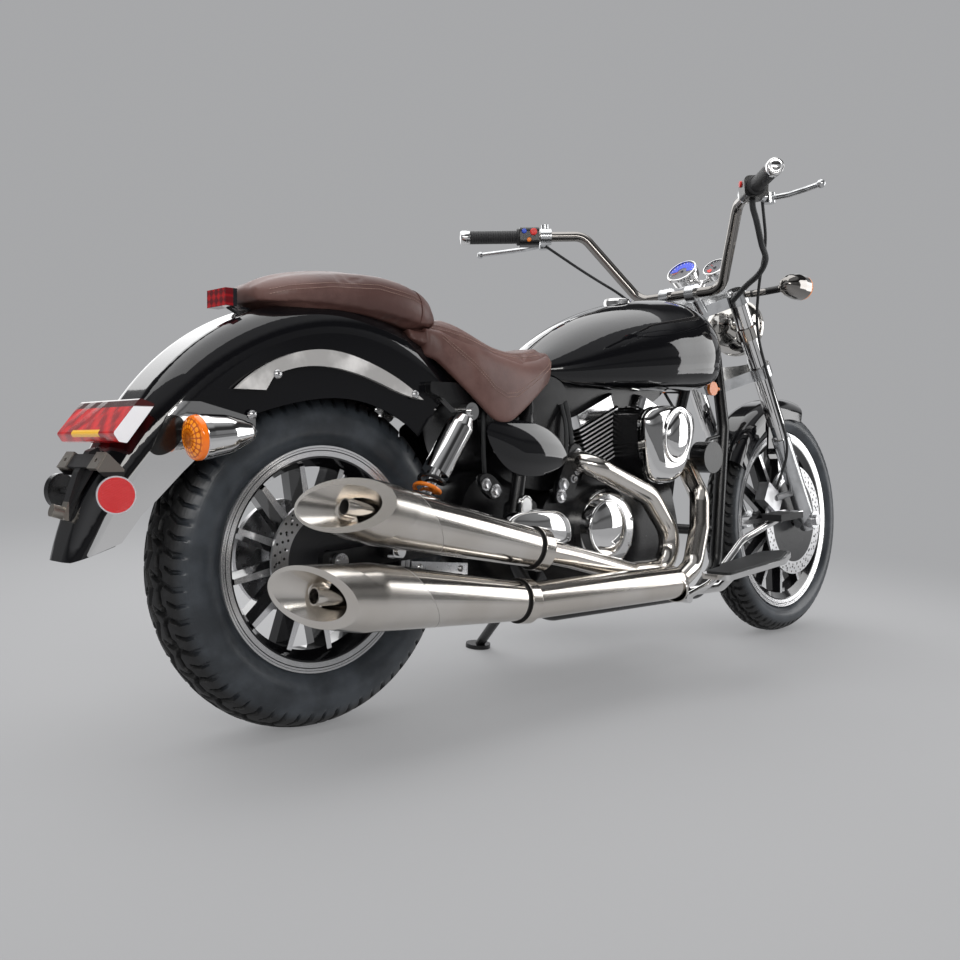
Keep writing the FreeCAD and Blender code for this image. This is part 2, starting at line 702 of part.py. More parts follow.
def pad_loop(x, half, low, high, crown):
    """Section across a seat: flat base, round sides, crowned top."""
    mid = (low + high) / 2
    upper = [V(x, -half * 0.94, low), V(x, -half, mid), V(x, -half * 0.82, high - crown * 0.3),
             V(x, -half * 0.4, high + crown * 0.5), V(x, 0, high + crown),
             V(x, half * 0.4, high + crown * 0.5), V(x, half * 0.82, high - crown * 0.3),
             V(x, half, mid), V(x, half * 0.94, low)]
    return [upper, [V(x, half * 0.94, low), V(x, 0, low), V(x, -half * 0.94, low)]]


def make_pillion():
    """Rear pad on the fender top."""
    stations = [(-135, 52, 752, 774, 2), (-100, 88, 750, 790, 8), (-10, 104, 756, 806, 14),
                (90, 112, 750, 812, 14), (175, 110, 736, 800, 12), (228, 90, 726, 778, 9),
                (256, 54, 722, 750, 4)]
    pad = loft([pad_loop(*s) for s in stations])
    return pad.cut(fender_block(SEAT_GAP))


def fender_wire(angle, radius, half, foot, corner):
    """Section of a fender block in the radial plane at an angle above +X."""
    pts = [V(foot, -half, 0), V(radius, -half, 0), V(radius, half, 0), V(foot, half, 0)]
    wire = Part.Wire(rounded_edges(pts, [0, corner, corner, 0], True))
    wire.rotate(ORIGIN, AXIS_Y, -angle)
    wire.translate(REAR_CENTRE)
    return wire


def fender_stations():
    """Angle, crown drop, half width and foot radius of the rear fender's sections."""
    rows = [(50, 0, 0, 289), (72, 0, 0, 288), (94, 2, 0, 287), (115, 12, 2, 295),
            (132, 21, 8, 316), (148, 26, 18, 345), (160, 22, 30, 374), (170, 12, 40, 388),
            (177, 2, 48, 398)]
    return [(angle, FENDER_R - drop, FENDER_HALF - inset, foot) for angle, drop, inset, foot in rows]


def fender_loft(grow, reach, foot_drop):
    """Block inside the fender's outer surface grown by a distance, its ends reaching past it."""
    stations = fender_stations()
    if reach:
        first, last = stations[0], stations[-1]
        stations = [(first[0] - reach,) + first[1:]] + stations + [(last[0] + reach,) + last[1:]]
    wires = [fender_wire(angle, radius + grow, half + grow, foot - foot_drop, half * 0.62 + grow)
             for angle, radius, half, foot in stations]
    return Part.makeLoft(wires, True, False)


def fender_block(gap):
    """What a piece seated on the fender is cut with."""
    return fender_loft(gap, 0, 120)


def make_rear_fender():
    """Deep fender lofted round the axle: full sides at the front, narrowing to the tail."""
    shell = fender_loft(0, 0, 0).cut(fender_loft(-FENDER_T, 3, 20))
    return shell.cut(half_space(V(-459, 0, 329), V(0.334, 0, -0.943)))


def make_rider_seat(pillion, tank):
    """Saddle between tank and pillion pad, with skirts over the frame."""
    stations = [(172, 96, 694, 716, 750, 762), (230, 118, 646, 692, 744, 764),
                (300, 134, 600, 660, 726, 750), (360, 141, 573, 630, 702, 730),
                (430, 138, 598, 642, 690, 708), (500, 116, 644, 668, 700, 706),
                (560, 84, 668, 688, 713, 714), (606, 42, 684, 692, 702, 704)]
    sections = []
    for x, half, low, wide, rim, centre in stations:
        upper = [V(x, -half * 0.97, low), V(x, -half, wide), V(x, -half * 0.78, rim),
                 V(x, -half * 0.4, (rim + centre) / 2), V(x, 0, centre),
                 V(x, half * 0.4, (rim + centre) / 2), V(x, half * 0.78, rim),
                 V(x, half, wide), V(x, half * 0.97, low)]
        lower = [V(x, half * 0.97, low), V(x, 0, low + 1), V(x, -half * 0.97, low)]
        sections.append([upper, lower])
    body = loft(sections)
    under = [(100, 400), (700, 400), (700, 676), (560, 676), (430, 664), (330, 654),
             (240, 690), (100, 745)]
    tools = [plate(under, -127, 127), fender_block(SEAT_GAP)]
    tools.append(pillion.translated(V(SEAT_GAP, 0, -SEAT_GAP)))
    tools.append(tank.translated(V(-SEAT_GAP, 0, SEAT_GAP)))
    for tool in tools:
        body = body.cut(tool)
    pieces = sorted(body.Solids, key=lambda s: s.Volume)
    return pieces[-1]


def make_side_covers():
    """Pointed covers below the seat on both sides."""
    outline = [(306, 560), (372, 462), (470, 446), (548, 470), (560, 498), (520, 540),
               (430, 566)]
    return both_sides(plate(outline, -147, -133.3, [14, 22, 30, 20, 14, 24, 30]))


# Lamps, plate bracket and trims at the rear

def make_fender_trims():
    """Polished crescents along the fender sides."""
    shapes = []
    points = [(-206, 603), (-134, 652), (-34, 677), (73, 657), (143, 627), (190, 597),
              (143, 606), (73, 629), (-34, 648), (-134, 628), (-150, 603)]
    upper = [V(x, 0, z) for x, z in points[:6]]
    lower = [V(x, 0, z) for x, z in points[5:10]]
    top = Part.BSplineCurve()
    top.interpolate(upper)
    low = Part.BSplineCurve()
    low.interpolate(lower)
    end = [Part.LineSegment(lower[-1], V(-150, 0, 603)).toShape(),
           Part.LineSegment(V(-150, 0, 603), upper[0]).toShape()]
    face = Part.Face(Part.Wire([top.toShape(), low.toShape()] + end))
    for side in (-1, 1):
        strip = face.extrude(V(0, 9, 0))
        base = side * (FENDER_HALF + 0.5) - (9 if side < 0 else 0)
        shapes.append(strip.translated(V(0, base, 0)))
    return Part.makeCompound(shapes).cut(fender_block(SEAT))


def stay_block():
    """What a piece seated on the fender stays is cut with."""
    return fender_loft(SEAT_GAP + STAY_T + SEAT, 0, 120)


def make_fender_stays():
    """Bright skins round the sides of the fender's tail, below the lamp."""
    outline = [(-164, 529), (-164, 556), (-262, 581), (-294, 581), (-318, 555), (-341, 504),
               (-374, 460), (-409, 400), (-436, 338), (-380, 359), (-350, 402), (-326, 426),
               (-287, 469), (-262, 494), (-229, 505)]
    skin = fender_loft(SEAT_GAP + STAY_T, 0, 70).cut(fender_block(SEAT_GAP))
    return both_sides(skin.common(plate(outline, -140, -30, 3)))


def make_tail_light():
    """Wedge lamp across the fender, its face sloped with the fender."""
    section = [(-346, 574), (-371, 583), (-414, 529), (-405, 516), (-392, 514)]
    lamp = plate(section, -TAIL_LIGHT_HALF, TAIL_LIGHT_HALF, [3, 6, 5, 5, 4])
    return lamp.cut(fender_block(SEAT_GAP))


def plate_mount(inward, side=0.0, up=0.0):
    """Point of the number plate's plane, moved inwards, to the left and up along it."""
    return V(PLATE_X, side, PLATE_Z) + PLATE_IN * inward + PLATE_IN.cross(AXIS_Y) * -up


def make_plate_bracket():
    """Bracket on the tail with two tabs for a number plate and the lamp that lights it."""
    turn = FreeCAD.Rotation(AXIS_Y, PLATE_TILT)
    post = plate([(-394, 508), (-384, 474), (-436, 392), (-452, 396), (-428, 468), (-408, 502)],
                 -10, 10, [4, 10, 5, 5, 14, 6])
    bar = local_box(PLATE_BAR_T, 142, 24, plate_mount(PLATE_BAR_T / 2 + 2), turn)
    corners = [V(-415, -35, 474), V(-415, 35, 474), V(-441, 10, 414), V(-441, -10, 414)]
    arm = Part.Face(Part.makePolygon(corners + corners[:1])).extrude(V(2.7, 0, -1.3))
    tabs = []
    holes = []
    cheeks = []
    for side in (-1, 1):
        tabs.append(local_box(PLATE_BAR_T, 32, 30, plate_mount(PLATE_BAR_T / 2, side * PLATE_HOLE_Y),
                              turn))
        holes.append(Part.makeCylinder(PLATE_HOLE_R, 40, plate_mount(-20, side * PLATE_HOLE_Y),
                                       PLATE_IN))
        cheeks.append(plate([(-425, 473), (-408, 499), (-382, 474), (-382, 460), (-414, 463)],
                            side * 72 - 1.5, side * 72 + 1.5, 3))
    lamp = rod(V(-466, 0, 411), V(-436, 0, 402), 10)
    bracket = fuse([post, bar, arm, lamp] + tabs + cheeks).cut(Part.makeCompound(holes))
    return bracket.cut(fender_block(SEAT))


def make_reflectors(cradle):
    """Round reflectors on the tail stays and amber ones ahead of the tank."""
    shapes = []
    for side in (-1, 1):
        out = V(-math.sin(REFLECTOR_TURN), side * math.cos(REFLECTOR_TURN), 0)
        centre = V(-408, side * 100, 436)
        rear = fuse([Part.makeCylinder(29, 9, centre, out),
                     rod(V(-372, side * 60, 436), V(-407, side * 102, 436), 6)])
        shapes.append(rear.cut(stay_block()))
        disc = Part.makeCylinder(17, 8, V(1140, side * 84, 655), V(0, side, 0))
        stay = tube([V(1140, side * 86, 655), V(1170, side * 84, 655), V(1226, side * 54, 655)],
                    8, 5)
        shapes.append(fuse([disc, stay]).cut(cradle))
    return Part.makeCompound(shapes)


def make_high_lamp(pillion):
    lamp = local_box(22, 62, 30, V(-170, 0, 762))
    stem = tube([V(-162, 0, 752), V(-142, 0, 742), V(-118, 0, 750)], 8, 5)
    return fuse([lamp, stem]).cut(fender_block(SEAT_GAP)).cut(pillion)


def make_rear_signals():
    """Bullet housings whose pointed ends rise a little towards the front, on short stems."""
    shapes = []
    for side in (-1, 1):
        centre = V(REAR_SIGNAL_X, side * REAR_SIGNAL_Y, 523)
        profile = [(0, 0), (36, 0), (36, 12), (31, 52), (16, 94), (0, 108)]
        bullet = turned(profile, centre, SIGNAL_DIR, [0, 2, 30, 60, 24, 0])
        root = V(REAR_SIGNAL_X + 20, side * REAR_SIGNAL_Y, 524)
        stem = rod(root, root - AXIS_Y * (side * 60), 9).cut(stay_block())
        shapes.append(fuse([bullet, stem]))
    return Part.makeCompound(shapes)


def make_rear_signal_lenses():
    shapes = []
    for side in (-1, 1):
        base = V(REAR_SIGNAL_X, side * REAR_SIGNAL_Y, 523) - SIGNAL_DIR * SEAT
        shapes.append(turned([(0, 0), (36, 0), (35, 8), (22, 15), (0, 18)], base, SIGNAL_DIR * -1,
                             [0, 0, 6, 20, 0]))
    return Part.makeCompound(shapes)


# Engine

def cylinder_axis(sign):
    """Direction of a cylinder, and its fin direction; sign -1 is the rear cylinder."""
    tilt = math.radians(V_HALF_ANGLE)
    axis = V(sign * math.sin(tilt), 0, math.cos(tilt))
    fin = V(math.cos(tilt), 0, -sign * math.sin(tilt))
    return axis, fin


def fin_block(length, width, height, corner):
    """Rounded rectangle block, upright about the local Z axis."""
    a, b = length / 2, width / 2
    points = [V(-a, -b, 0), V(a, -b, 0), V(a, b, 0), V(-a, b, 0)]
    face = Part.Face(Part.Wire(rounded_edges(points, corner, True)))
    return face.extrude(V(0, 0, height))


def exhaust_port(sign):
    """Mouth of the exhaust port of a cylinder, and the direction out of it."""
    axis, fin = cylinder_axis(sign)
    s = 186 if sign > 0 else 200
    mouth = V(CRANK_X, -52, CRANK_Z) + axis * s + fin * (sign * 100)
    return mouth, V(sign * 0.78, -0.62, 0).normalize()


def make_cylinders():
    """Finned cylinders in a V, each with the boss that the exhaust pipe is bolted to."""
    crank = V(CRANK_X, 0, CRANK_Z)
    shapes = []
    for sign in (-1, 1):
        axis, fin = cylinder_axis(sign)
        parts = [fin_block(120, 118, 118, 26).translated(V(0, 0, 146))]
        for i in range(FIN_COUNT):
            parts.append(fin_block(168, 148, FIN_T, 22).translated(V(0, 0, 160 + i * FIN_PITCH)))
        body = put(fuse(parts), crank, FreeCAD.Rotation(fin, AXIS_Y, axis, "ZXY"))
        mouth, out = exhaust_port(sign)
        body = fuse([body, rod(mouth - out * 60, mouth, HEADER_R + 6)])
        reach = V(CRANK_X + (SEAT if sign > 0 else -400 - SEAT), -200, CRANK_Z)
        shapes.append(body.common(Part.makeBox(400, 400, 400, reach)))
    return shapes


def make_rocker_covers():
    crank = V(CRANK_X, 0, CRANK_Z)
    shapes = []
    for sign in (-1, 1):
        axis, fin = cylinder_axis(sign)
        cover = put(fin_block(166, 150, 28, 26), V(sign * 8, 0, COVER_S))
        shapes.append(put(cover, crank, FreeCAD.Rotation(fin, AXIS_Y, axis, "ZXY")))
    return shapes


def make_crankcase(cylinders):
    lower = [(545, 215), (900, 186), (965, 225), (980, 330), (950, 425), (600, 425), (520, 400),
             (505, 270)]
    upper = [(655, 400), (960, 400), (900, 486), (750, 490), (680, 460)]
    case = fuse([plate(lower, -104, 104, [40, 40, 40, 60, 30, 30, 40, 40]),
                 plate(upper, -74, 74, [0, 0, 30, 30, 20])])
    pocket = plate([(480, 262), (560, 276), (616, 276), (616, 394), (560, 394), (480, 400)],
                   62, 106, [0, 0, 24, 24, 0, 0])
    case = fuse([case.cut(pocket), rod(V(560, 61, 335), V(560, CHAIN_Y + 3, 335), 14),
                 rod(V(560, CHAIN_Y - 3, 335), V(560, CHAIN_Y + 3, 335), 34 - 0.3)])
    for cylinder in cylinders:
        case = case.cut(cylinder)
    return case


def make_engine_covers():
    """Clutch cover on the right, generator and sprocket covers on the left."""
    parts = []
    outer = turned([(0, 0), (88, 0), (88, 22), (78, 30), (0, 30)], V(700, -104.2, 332),
                   V(0, -1, 0), [0, 0, 10, 6, 0])
    inner = turned([(0, 0), (60, 0), (56, 26), (0, 36)], V(662, -133, 338), V(0, -1, 0),
                   [0, 0, 10, 0])
    parts.append(fuse([outer, inner]))
    left = turned([(0, 0), (92, 0), (90, 30), (60, 44), (0, 44)], V(800, 104.2, 335), AXIS_Y,
                  [0, 0, 14, 20, 0])
    sprocket = plate([(520, 290), (640, 290), (660, 340), (640, 400), (520, 400), (500, 345)],
                     104.2, 134, 24)
    parts += [left, sprocket]
    return Part.makeCompound(parts)


def air_outline(scale):
    """Outline of the air cleaner, scaled about its middle."""
    corners = [(767, 602), (926, 604), (952, 562), (908, 455), (866, 429), (806, 431),
               (783, 452), (767, 520)]
    return [(855 + (x - 855) * scale, 518 + (z - 518) * scale) for x, z in corners]


def make_air_cleaner_plate():
    return plate(air_outline(0.9), -152, -75 - SEAT, 12)


def make_air_cleaner_cover():
    """Domed bright cover with a raised oval boss."""
    base = plate(air_outline(1.0), -176, -152.2, AIR_RADII)
    upper = plate(air_outline(0.9), -190, -175, 12)
    oval = Part.Ellipse(V(0, 0, 0), 58, 43)
    oval.XAxis = V(0.25, 0.97, 0)
    face = Part.Face(Part.Wire([oval.toShape()]))
    boss = face.extrude(V(0, 0, 14))
    boss.Placement = FreeCAD.Placement(V(862, -188, 538), FreeCAD.Rotation(AXIS_X, 90))
    return fuse([base, upper, boss])


# Exhaust

def make_headers(mufflers):
    """Primary pipe of the rear cylinder to the upper silencer, front pipe to the lower one."""
    mouth, out = exhaust_port(-1)
    rear = [mouth + out * SEAT, mouth + out * 56, V(606, -154, 476), V(800, -158, 404),
            V(886, -160, 306), V(846, -164, 236), V(724, -168, 238), V(500, -196, 290),
            V(396, -212, 311)]
    upper = hollow_tube(rear, [0, 26, 34, 80, 60, 60, 80, 100, 0], HEADER_R, PIPE_WALL)
    mouth, out = exhaust_port(1)
    front = [mouth + out * SEAT, mouth + out * 52, V(944, -192, 398), V(922, -208, 330),
             V(886, -216, 245), V(820, EXHAUST_Y, 217)]
    lower = hollow_tube(front, [0, 30, 40, 60, 50, 0], HEADER_R - 1, PIPE_WALL)
    end = front[-1]
    run = (end - front[-2]).normalize()
    flare = turned([(HEADER_R - 3.5, -6), (HEADER_R + 1, -6), (BIG_PIPE_R, 26),
                    (BIG_PIPE_R, 30), (BIG_PIPE_R - PIPE_WALL, 30), (HEADER_R - 3.5, 0)],
                   end, run)
    big = hollow_tube([V(800, EXHAUST_Y, 216), V(344, EXHAUST_Y, 218)], 0, BIG_PIPE_R, PIPE_WALL)
    bend = fuse([lower, flare])
    return Part.makeCompound([upper.cut(mufflers), bend, big.cut(mufflers).cut(bend)])


def mouth_wire(centre, axis, normal, radius, inset):
    """Outline of a slanted cut through a round pipe, drawn in by the inset."""
    lean = abs(axis.dot(normal))
    along = axis.cross(normal).cross(normal).normalize()
    edge = Part.Ellipse(ORIGIN, radius / lean - inset, radius - inset).toShape()
    edge.Placement = FreeCAD.Placement(
        centre, FreeCAD.Rotation(along, normal.cross(along), normal, "XYZ"))
    return Part.Wire(edge)


def half_space(point, direction):
    """Large block that fills the side of a plane to which the direction points."""
    block = Part.makeBox(900, 900, 900, V(-450, -450, 0))
    block.Placement = FreeCAD.Placement(point, FreeCAD.Rotation(AXIS_Z, direction))
    return block


def make_silencer(front, rear, tip_len, reach, normal, r_rear, r_tip, r_mouth):
    """Tapered can with a clamp band, a slash-cut tip sleeve, a dished mouth and an outlet."""
    axis = (rear - front).normalize()
    normal.normalize()
    length = (rear - front).Length
    full = length + tip_len
    mouth = rear + axis * reach
    can = turned([(0, 0), (MUFFLER_FRONT_R, 0), (r_rear, length), (r_tip, full), (0, full)],
                 front, axis, [0, 0, 120, 0, 0])
    band = turned([(0, 0), (CLAMP_BAND_R, 0), (CLAMP_BAND_R, 28), (0, 28)], front, axis,
                  [0, 2, 2, 0])
    sleeve = turned([(0, length - 90), (r_rear + SLEEVE_T - 90 * (r_rear - MUFFLER_FRONT_R) / length,
                                        length - 90),
                     (r_rear + SLEEVE_T, length), (r_tip + SLEEVE_T, full), (0, full)],
                    front, axis, [0, 0, 120, 0, 0])
    sleeve = sleeve.cut(half_space(mouth - axis * 58, normal * -1))
    body = fuse([can, band, sleeve]).cut(half_space(mouth, normal))
    well_r = OUTLET_R + 7
    dish = Part.makeLoft([mouth_wire(mouth + axis * 2, axis, normal, r_mouth, LIP_W - 0.5),
                          mouth_wire(mouth - axis * 36, axis, normal, well_r, 0)], True, True)
    well = rod(mouth - axis * 100, mouth - axis * 34, well_r)
    outlet = rod(mouth - axis * 102, mouth - axis * 9, OUTLET_R)
    bore = rod(mouth - axis * 94, mouth, OUTLET_R - 2.5)
    return body.cut(dish).cut(well).fuse(outlet).cut(bore)


def make_mufflers():
    upper = make_silencer(V(398, -212, 311), V(-8, -212, 398), 190, 71, V(-0.5, -0.7, 0.5),
                          MUFFLER_REAR_R, 37, 48)
    lower = make_silencer(V(347, EXHAUST_Y, 218), V(-40, EXHAUST_Y - 6, 261), 190, 113,
                          V(-0.69, -0.67, -0.27), MUFFLER_REAR_R + 3, 42, 48.5)
    return Part.makeCompound([upper, lower])


# Rear suspension and drive

def make_swingarm():
    outline = [(-34, 292), (330, 306), (452, 300), (466, 330), (452, 360), (330, 352),
               (-34, 324)]
    arms = []
    for side in (-1, 1):
        arms.append(plate(outline, side * ARM_IN, side * (ARM_IN + ARM_T), [10, 40, 16, 24, 16, 40, 10]))
        lug = V(105, side * (ARM_IN + ARM_T - 2), 322)
        arms.append(rod(lug, V(105, side * (SHOCK_Y - SHOCK_EYE - SEAT), 322), 15))
    cross = rod(V(385, -90, 330), V(385, 62, 330), 17)
    sleeve = rod(V(PIVOT_X, -90, PIVOT_Z), V(PIVOT_X, 62, PIVOT_Z), 18)
    arm = fuse(arms + [cross, sleeve])
    bores = [rod(V(PIVOT_X, -150, PIVOT_Z), V(PIVOT_X, 150, PIVOT_Z), AXLE_R + RUN),
             rod(V(0, -150, REAR_TYRE_R), V(0, 150, REAR_TYRE_R), AXLE_R + RUN)]
    return arm.cut(Part.makeCompound(bores))


def make_axles():
    rear = fuse([rod(V(0, -114, REAR_TYRE_R), V(0, 114, REAR_TYRE_R), AXLE_R),
                 rod(V(0, 102.2, REAR_TYRE_R), V(0, 111, REAR_TYRE_R), 15),
                 rod(V(0, -111, REAR_TYRE_R), V(0, -102.2, REAR_TYRE_R), 15)])
    pivot = rod(V(PIVOT_X, -136, PIVOT_Z), V(PIVOT_X, 136, PIVOT_Z), AXLE_R)
    return Part.makeCompound([rear, pivot])


def shock_ends(side):
    return SHOCK_TOP + AXIS_Y * (side * SHOCK_Y), SHOCK_FOOT + AXIS_Y * (side * SHOCK_Y)


def make_shocks():
    """Damper with its upper shroud, spring seat, both eyes and their cap bolts."""
    shapes = []
    for side in (-1, 1):
        top, foot = shock_ends(side)
        down = (foot - top).normalize()
        half = V(0, SHOCK_EYE, 0)
        eye_top = rod(top - half, top + half, 17)
        eye_foot = rod(foot - half, foot + half, 15)
        shroud = turned([(0, 14), (18, 14), (SHOCK_R, 36), (SHOCK_R, 142), (0, 142)], top, down,
                        [0, 4, 12, 0, 0])
        damper = rod(top + down * 140, foot - down * 10, DAMPER_R)
        seat = rod(foot - down * 34, foot - down * 24, SHOCK_R)
        out = V(0, side, 0)
        caps = [rod(eye + out * (SHOCK_EYE - 1), eye + out * (SHOCK_EYE + 6), 9)
                for eye in (top, foot)]
        shapes.append(fuse([eye_top, eye_foot, shroud, damper, seat] + caps))
    return Part.makeCompound(shapes)


def make_shock_springs():
    """Close coils between the shroud and the lower seat, as one scalloped sleeve."""
    shapes = []
    count = 9
    for side in (-1, 1):
        top, foot = shock_ends(side)
        down = (foot - top).normalize()
        start = 142 + SEAT
        end = (foot - top).Length - 34 - SEAT
        pitch = (end - start) / count
        edges = []
        for i in range(count):
            low = start + i * pitch
            edges.append(Part.Arc(V(19, 0, low), V(23.5, 0, low + pitch / 2),
                                  V(19, 0, low + pitch)).toShape())
        inner = DAMPER_R + SEAT
        edges.append(Part.LineSegment(V(19, 0, end), V(inner, 0, end)).toShape())
        edges.append(Part.LineSegment(V(inner, 0, end), V(inner, 0, start)).toShape())
        edges.append(Part.LineSegment(V(inner, 0, start), V(19, 0, start)).toShape())
        coil = Part.Face(Part.Wire(edges)).revolve(ORIGIN, AXIS_Z, 360)
        shapes.append(put(coil, top, FreeCAD.Rotation(AXIS_Z, down)))
    return Part.makeCompound(shapes)


# Footrests, controls and small parts

def board_outline():
    """Plan of a floorboard about its middle, stepped in beside the exhaust."""
    return [(-155, -24), (-150, 50), (60, 58), (150, 20), (155, -10), (120, -44), (-62, -44),
            (-92, -24)]


def make_floorboards(cradle):
    shapes = []
    tilt = FreeCAD.Rotation(AXIS_Y, -6)
    outline = board_outline()
    for side in (-1, 1):
        deck = slab([(x, -y) for x, y in outline], 0, 12, [12, 14, 60, 24, 24, 50, 20, 12])
        deck = deck.cut(slab([(x * 0.92, -y * 0.84) for x, y in outline], 6, 20, 10))
        deck.Placement = FreeCAD.Placement(V(1015, -278, 238), tilt)
        arm = tube([V(1046, -242, 240), V(1040, -186, 182), V(1040, -104, 164)], 20, 11)
        body = fuse([deck, arm]).cut(cradle)
        shapes.append(body if side < 0 else mirrored(body))
    return Part.makeCompound(shapes)


def make_floorboard_pads():
    tilt = FreeCAD.Rotation(AXIS_Y, -6)
    pad = slab([(x * 0.91, -y * 0.82) for x, y in board_outline()], 6 + SEAT, 15, 9)
    pad.Placement = FreeCAD.Placement(V(1015, -278, 238), tilt)
    return both_sides(pad)


def make_foot_controls():
    """Brake pedal on the right and gear pedal on the left, both on long arms."""
    arm = tube([V(955, -146, 160), V(978, -200, 196), V(1100, -206, 292), V(1165, -256, 338)],
               [0, 30, 60, 0], 8)
    pad = local_box(96, 52, 16, V(1172, -268, 348), FreeCAD.Rotation(AXIS_Y, -4))
    hub = rod(V(955, -160, 160), V(955, -115 - SEAT, 160), 12)
    return both_sides(fuse([arm, pad, hub]))


def make_passenger_boards(cradle):
    outline = [(360, 318), (512, 318), (512, 350), (484, 380), (430, 388), (378, 378), (352, 350)]
    board = plate(outline, -168, -150, [8, 12, 20, 20, 30, 20, 16])
    tab = plate([(398, 372), (424, 372), (424, 412), (398, 412)], -160, -152, 6)
    mount = rod(V(420, -151, 366), V(420, -132.6, 366), 11)
    return both_sides(fuse([board, tab, mount]).cut(cradle))


def make_horn(cradle):
    drum = Part.makeCylinder(38, 44, V(1090, -128, 486), AXIS_Y)
    stay = tube([V(1090, -95, 505), V(1130, -84, 530), V(1196, -74, 540)], 20, 5)
    return fuse([drum, stay]).cut(cradle)


def make_chain():
    front = V(560, CHAIN_Y, 335)
    rear = V(0, CHAIN_Y, REAR_TYRE_R)
    loop = []
    for grow in (92.6, 104):
        r_front = 34 + grow - 92.6
        r_rear = grow
        span = front - rear
        base = math.atan2(span.z, span.x)
        lean = math.acos((r_rear - r_front) / span.Length)
        pts = []
        for centre, r, angles in ((rear, r_rear, (base + lean, base + math.pi, base - lean)),
                                  (front, r_front, (base - lean, base, base + lean))):
            pts.append([centre + V(r * math.cos(a), 0, r * math.sin(a)) for a in angles])
        edges = [Part.Arc(*pts[0]).toShape(), Part.LineSegment(pts[0][2], pts[1][0]).toShape(),
                 Part.Arc(*pts[1]).toShape(), Part.LineSegment(pts[1][2], pts[0][0]).toShape()]
        loop.append(Part.Face(Part.Wire(edges)).extrude(V(0, 12, 0)))
    return loop[1].cut(loop[0]).translated(V(0, -6, 0))


def make_sprocket():
    return ring([(AXLE_R + 14, 58.2), (40, 58.2), (48, CHAIN_Y - 3), (92, CHAIN_Y - 3),
                 (92, CHAIN_Y + 3), (AXLE_R + 14, CHAIN_Y + 3)], REAR_CENTRE)


def make_rear_caliper():
    block = local_box(70, 30, 46, V(96, -69, 372), FreeCAD.Rotation(AXIS_Y, -30))
    slot = Part.makeCylinder(125, 8, V(0, -72, REAR_TYRE_R), AXIS_Y)
    stay = plate([(80, 312), (116, 312), (122, 380), (72, 380)], -87.8, -82, 6)
    return fuse([block, stay]).cut(slot)


def make_front_caliper():
    block = local_box(84, 30, 54, V(1432, -64, 372), FreeCAD.Rotation(AXIS_Y, 30))
    slot = Part.makeCylinder(156, 9, V(WHEELBASE, -66.5, FRONT_TYRE_R), AXIS_Y)
    link = rod(V(1446, -76, 372), V(1506, -96, 386), 9)
    leg = rod(V(WHEELBASE, -FORK_HALF, FRONT_TYRE_R) - HEAD_DIR * 40,
              V(WHEELBASE, -FORK_HALF, FRONT_TYRE_R) + HEAD_DIR * 262, SLIDER_R + 0.2)
    return fuse([block, link]).cut(slot).cut(leg)


def make_cables(levers):
    """Brake hose from the right perch to the caliper, clutch cable from the left perch."""
    start = {}
    for side in (-1, 1):
        ahead, seat = perch(side)
        start[side] = seat + ahead * 30 - AXIS_Z * 16
    right = [start[-1], V(1085, -262, 975), V(1150, -205, 905), V(1235, -145, 800),
             V(1330, -132, 660), V(1420, -134, 500), V(1424, -92, 402)]
    left = [start[1], V(1085, 262, 975), V(1160, 180, 905), V(1250, 142, 800),
            V(1290, 134, 735)]
    hose = tube(right, wide_bends(right), 3.5)
    cable = tube(left, wide_bends(left), 3.5)
    return Part.makeCompound([hose.cut(levers), cable.cut(levers)])


# Side stand, drawn on the leaned machine with its foot flat on the floor

def make_side_stand(settle):
    """Leg from the pivot hub out to a flat foot on the floor."""
    pivot = settle(STAND_PIVOT)
    direction = settle(STAND_PIVOT + AXIS_Y) - pivot
    hub = rod(pivot - direction * 9, pivot + direction * 9, 17)
    knee = settle(STAND_PIVOT + V(32, 3, -28))
    foot = V(pivot.x + 78, pivot.y + 118, STAND_PAD_T)
    leg = [rod(pivot, knee, 8), Part.makeSphere(STAND_LEG_R, knee), rod(knee, foot, STAND_LEG_R)]
    pad = Part.makeCylinder(30, STAND_PAD_T, V(foot.x, foot.y + 6, 0), AXIS_Z)
    bore = rod(pivot - direction * 30, pivot + direction * 30, STAND_PIN_R + RUN)
    return fuse(leg + [pad, hub]).cut(bore)


# Assembly

def torus_low(centre, axle, radius, crown):
    """Lowest height of a tyre whose tread is a crown arc, with any axle direction."""
    return centre.z - (radius - crown) * math.sqrt(1 - axle.z ** 2) - crown


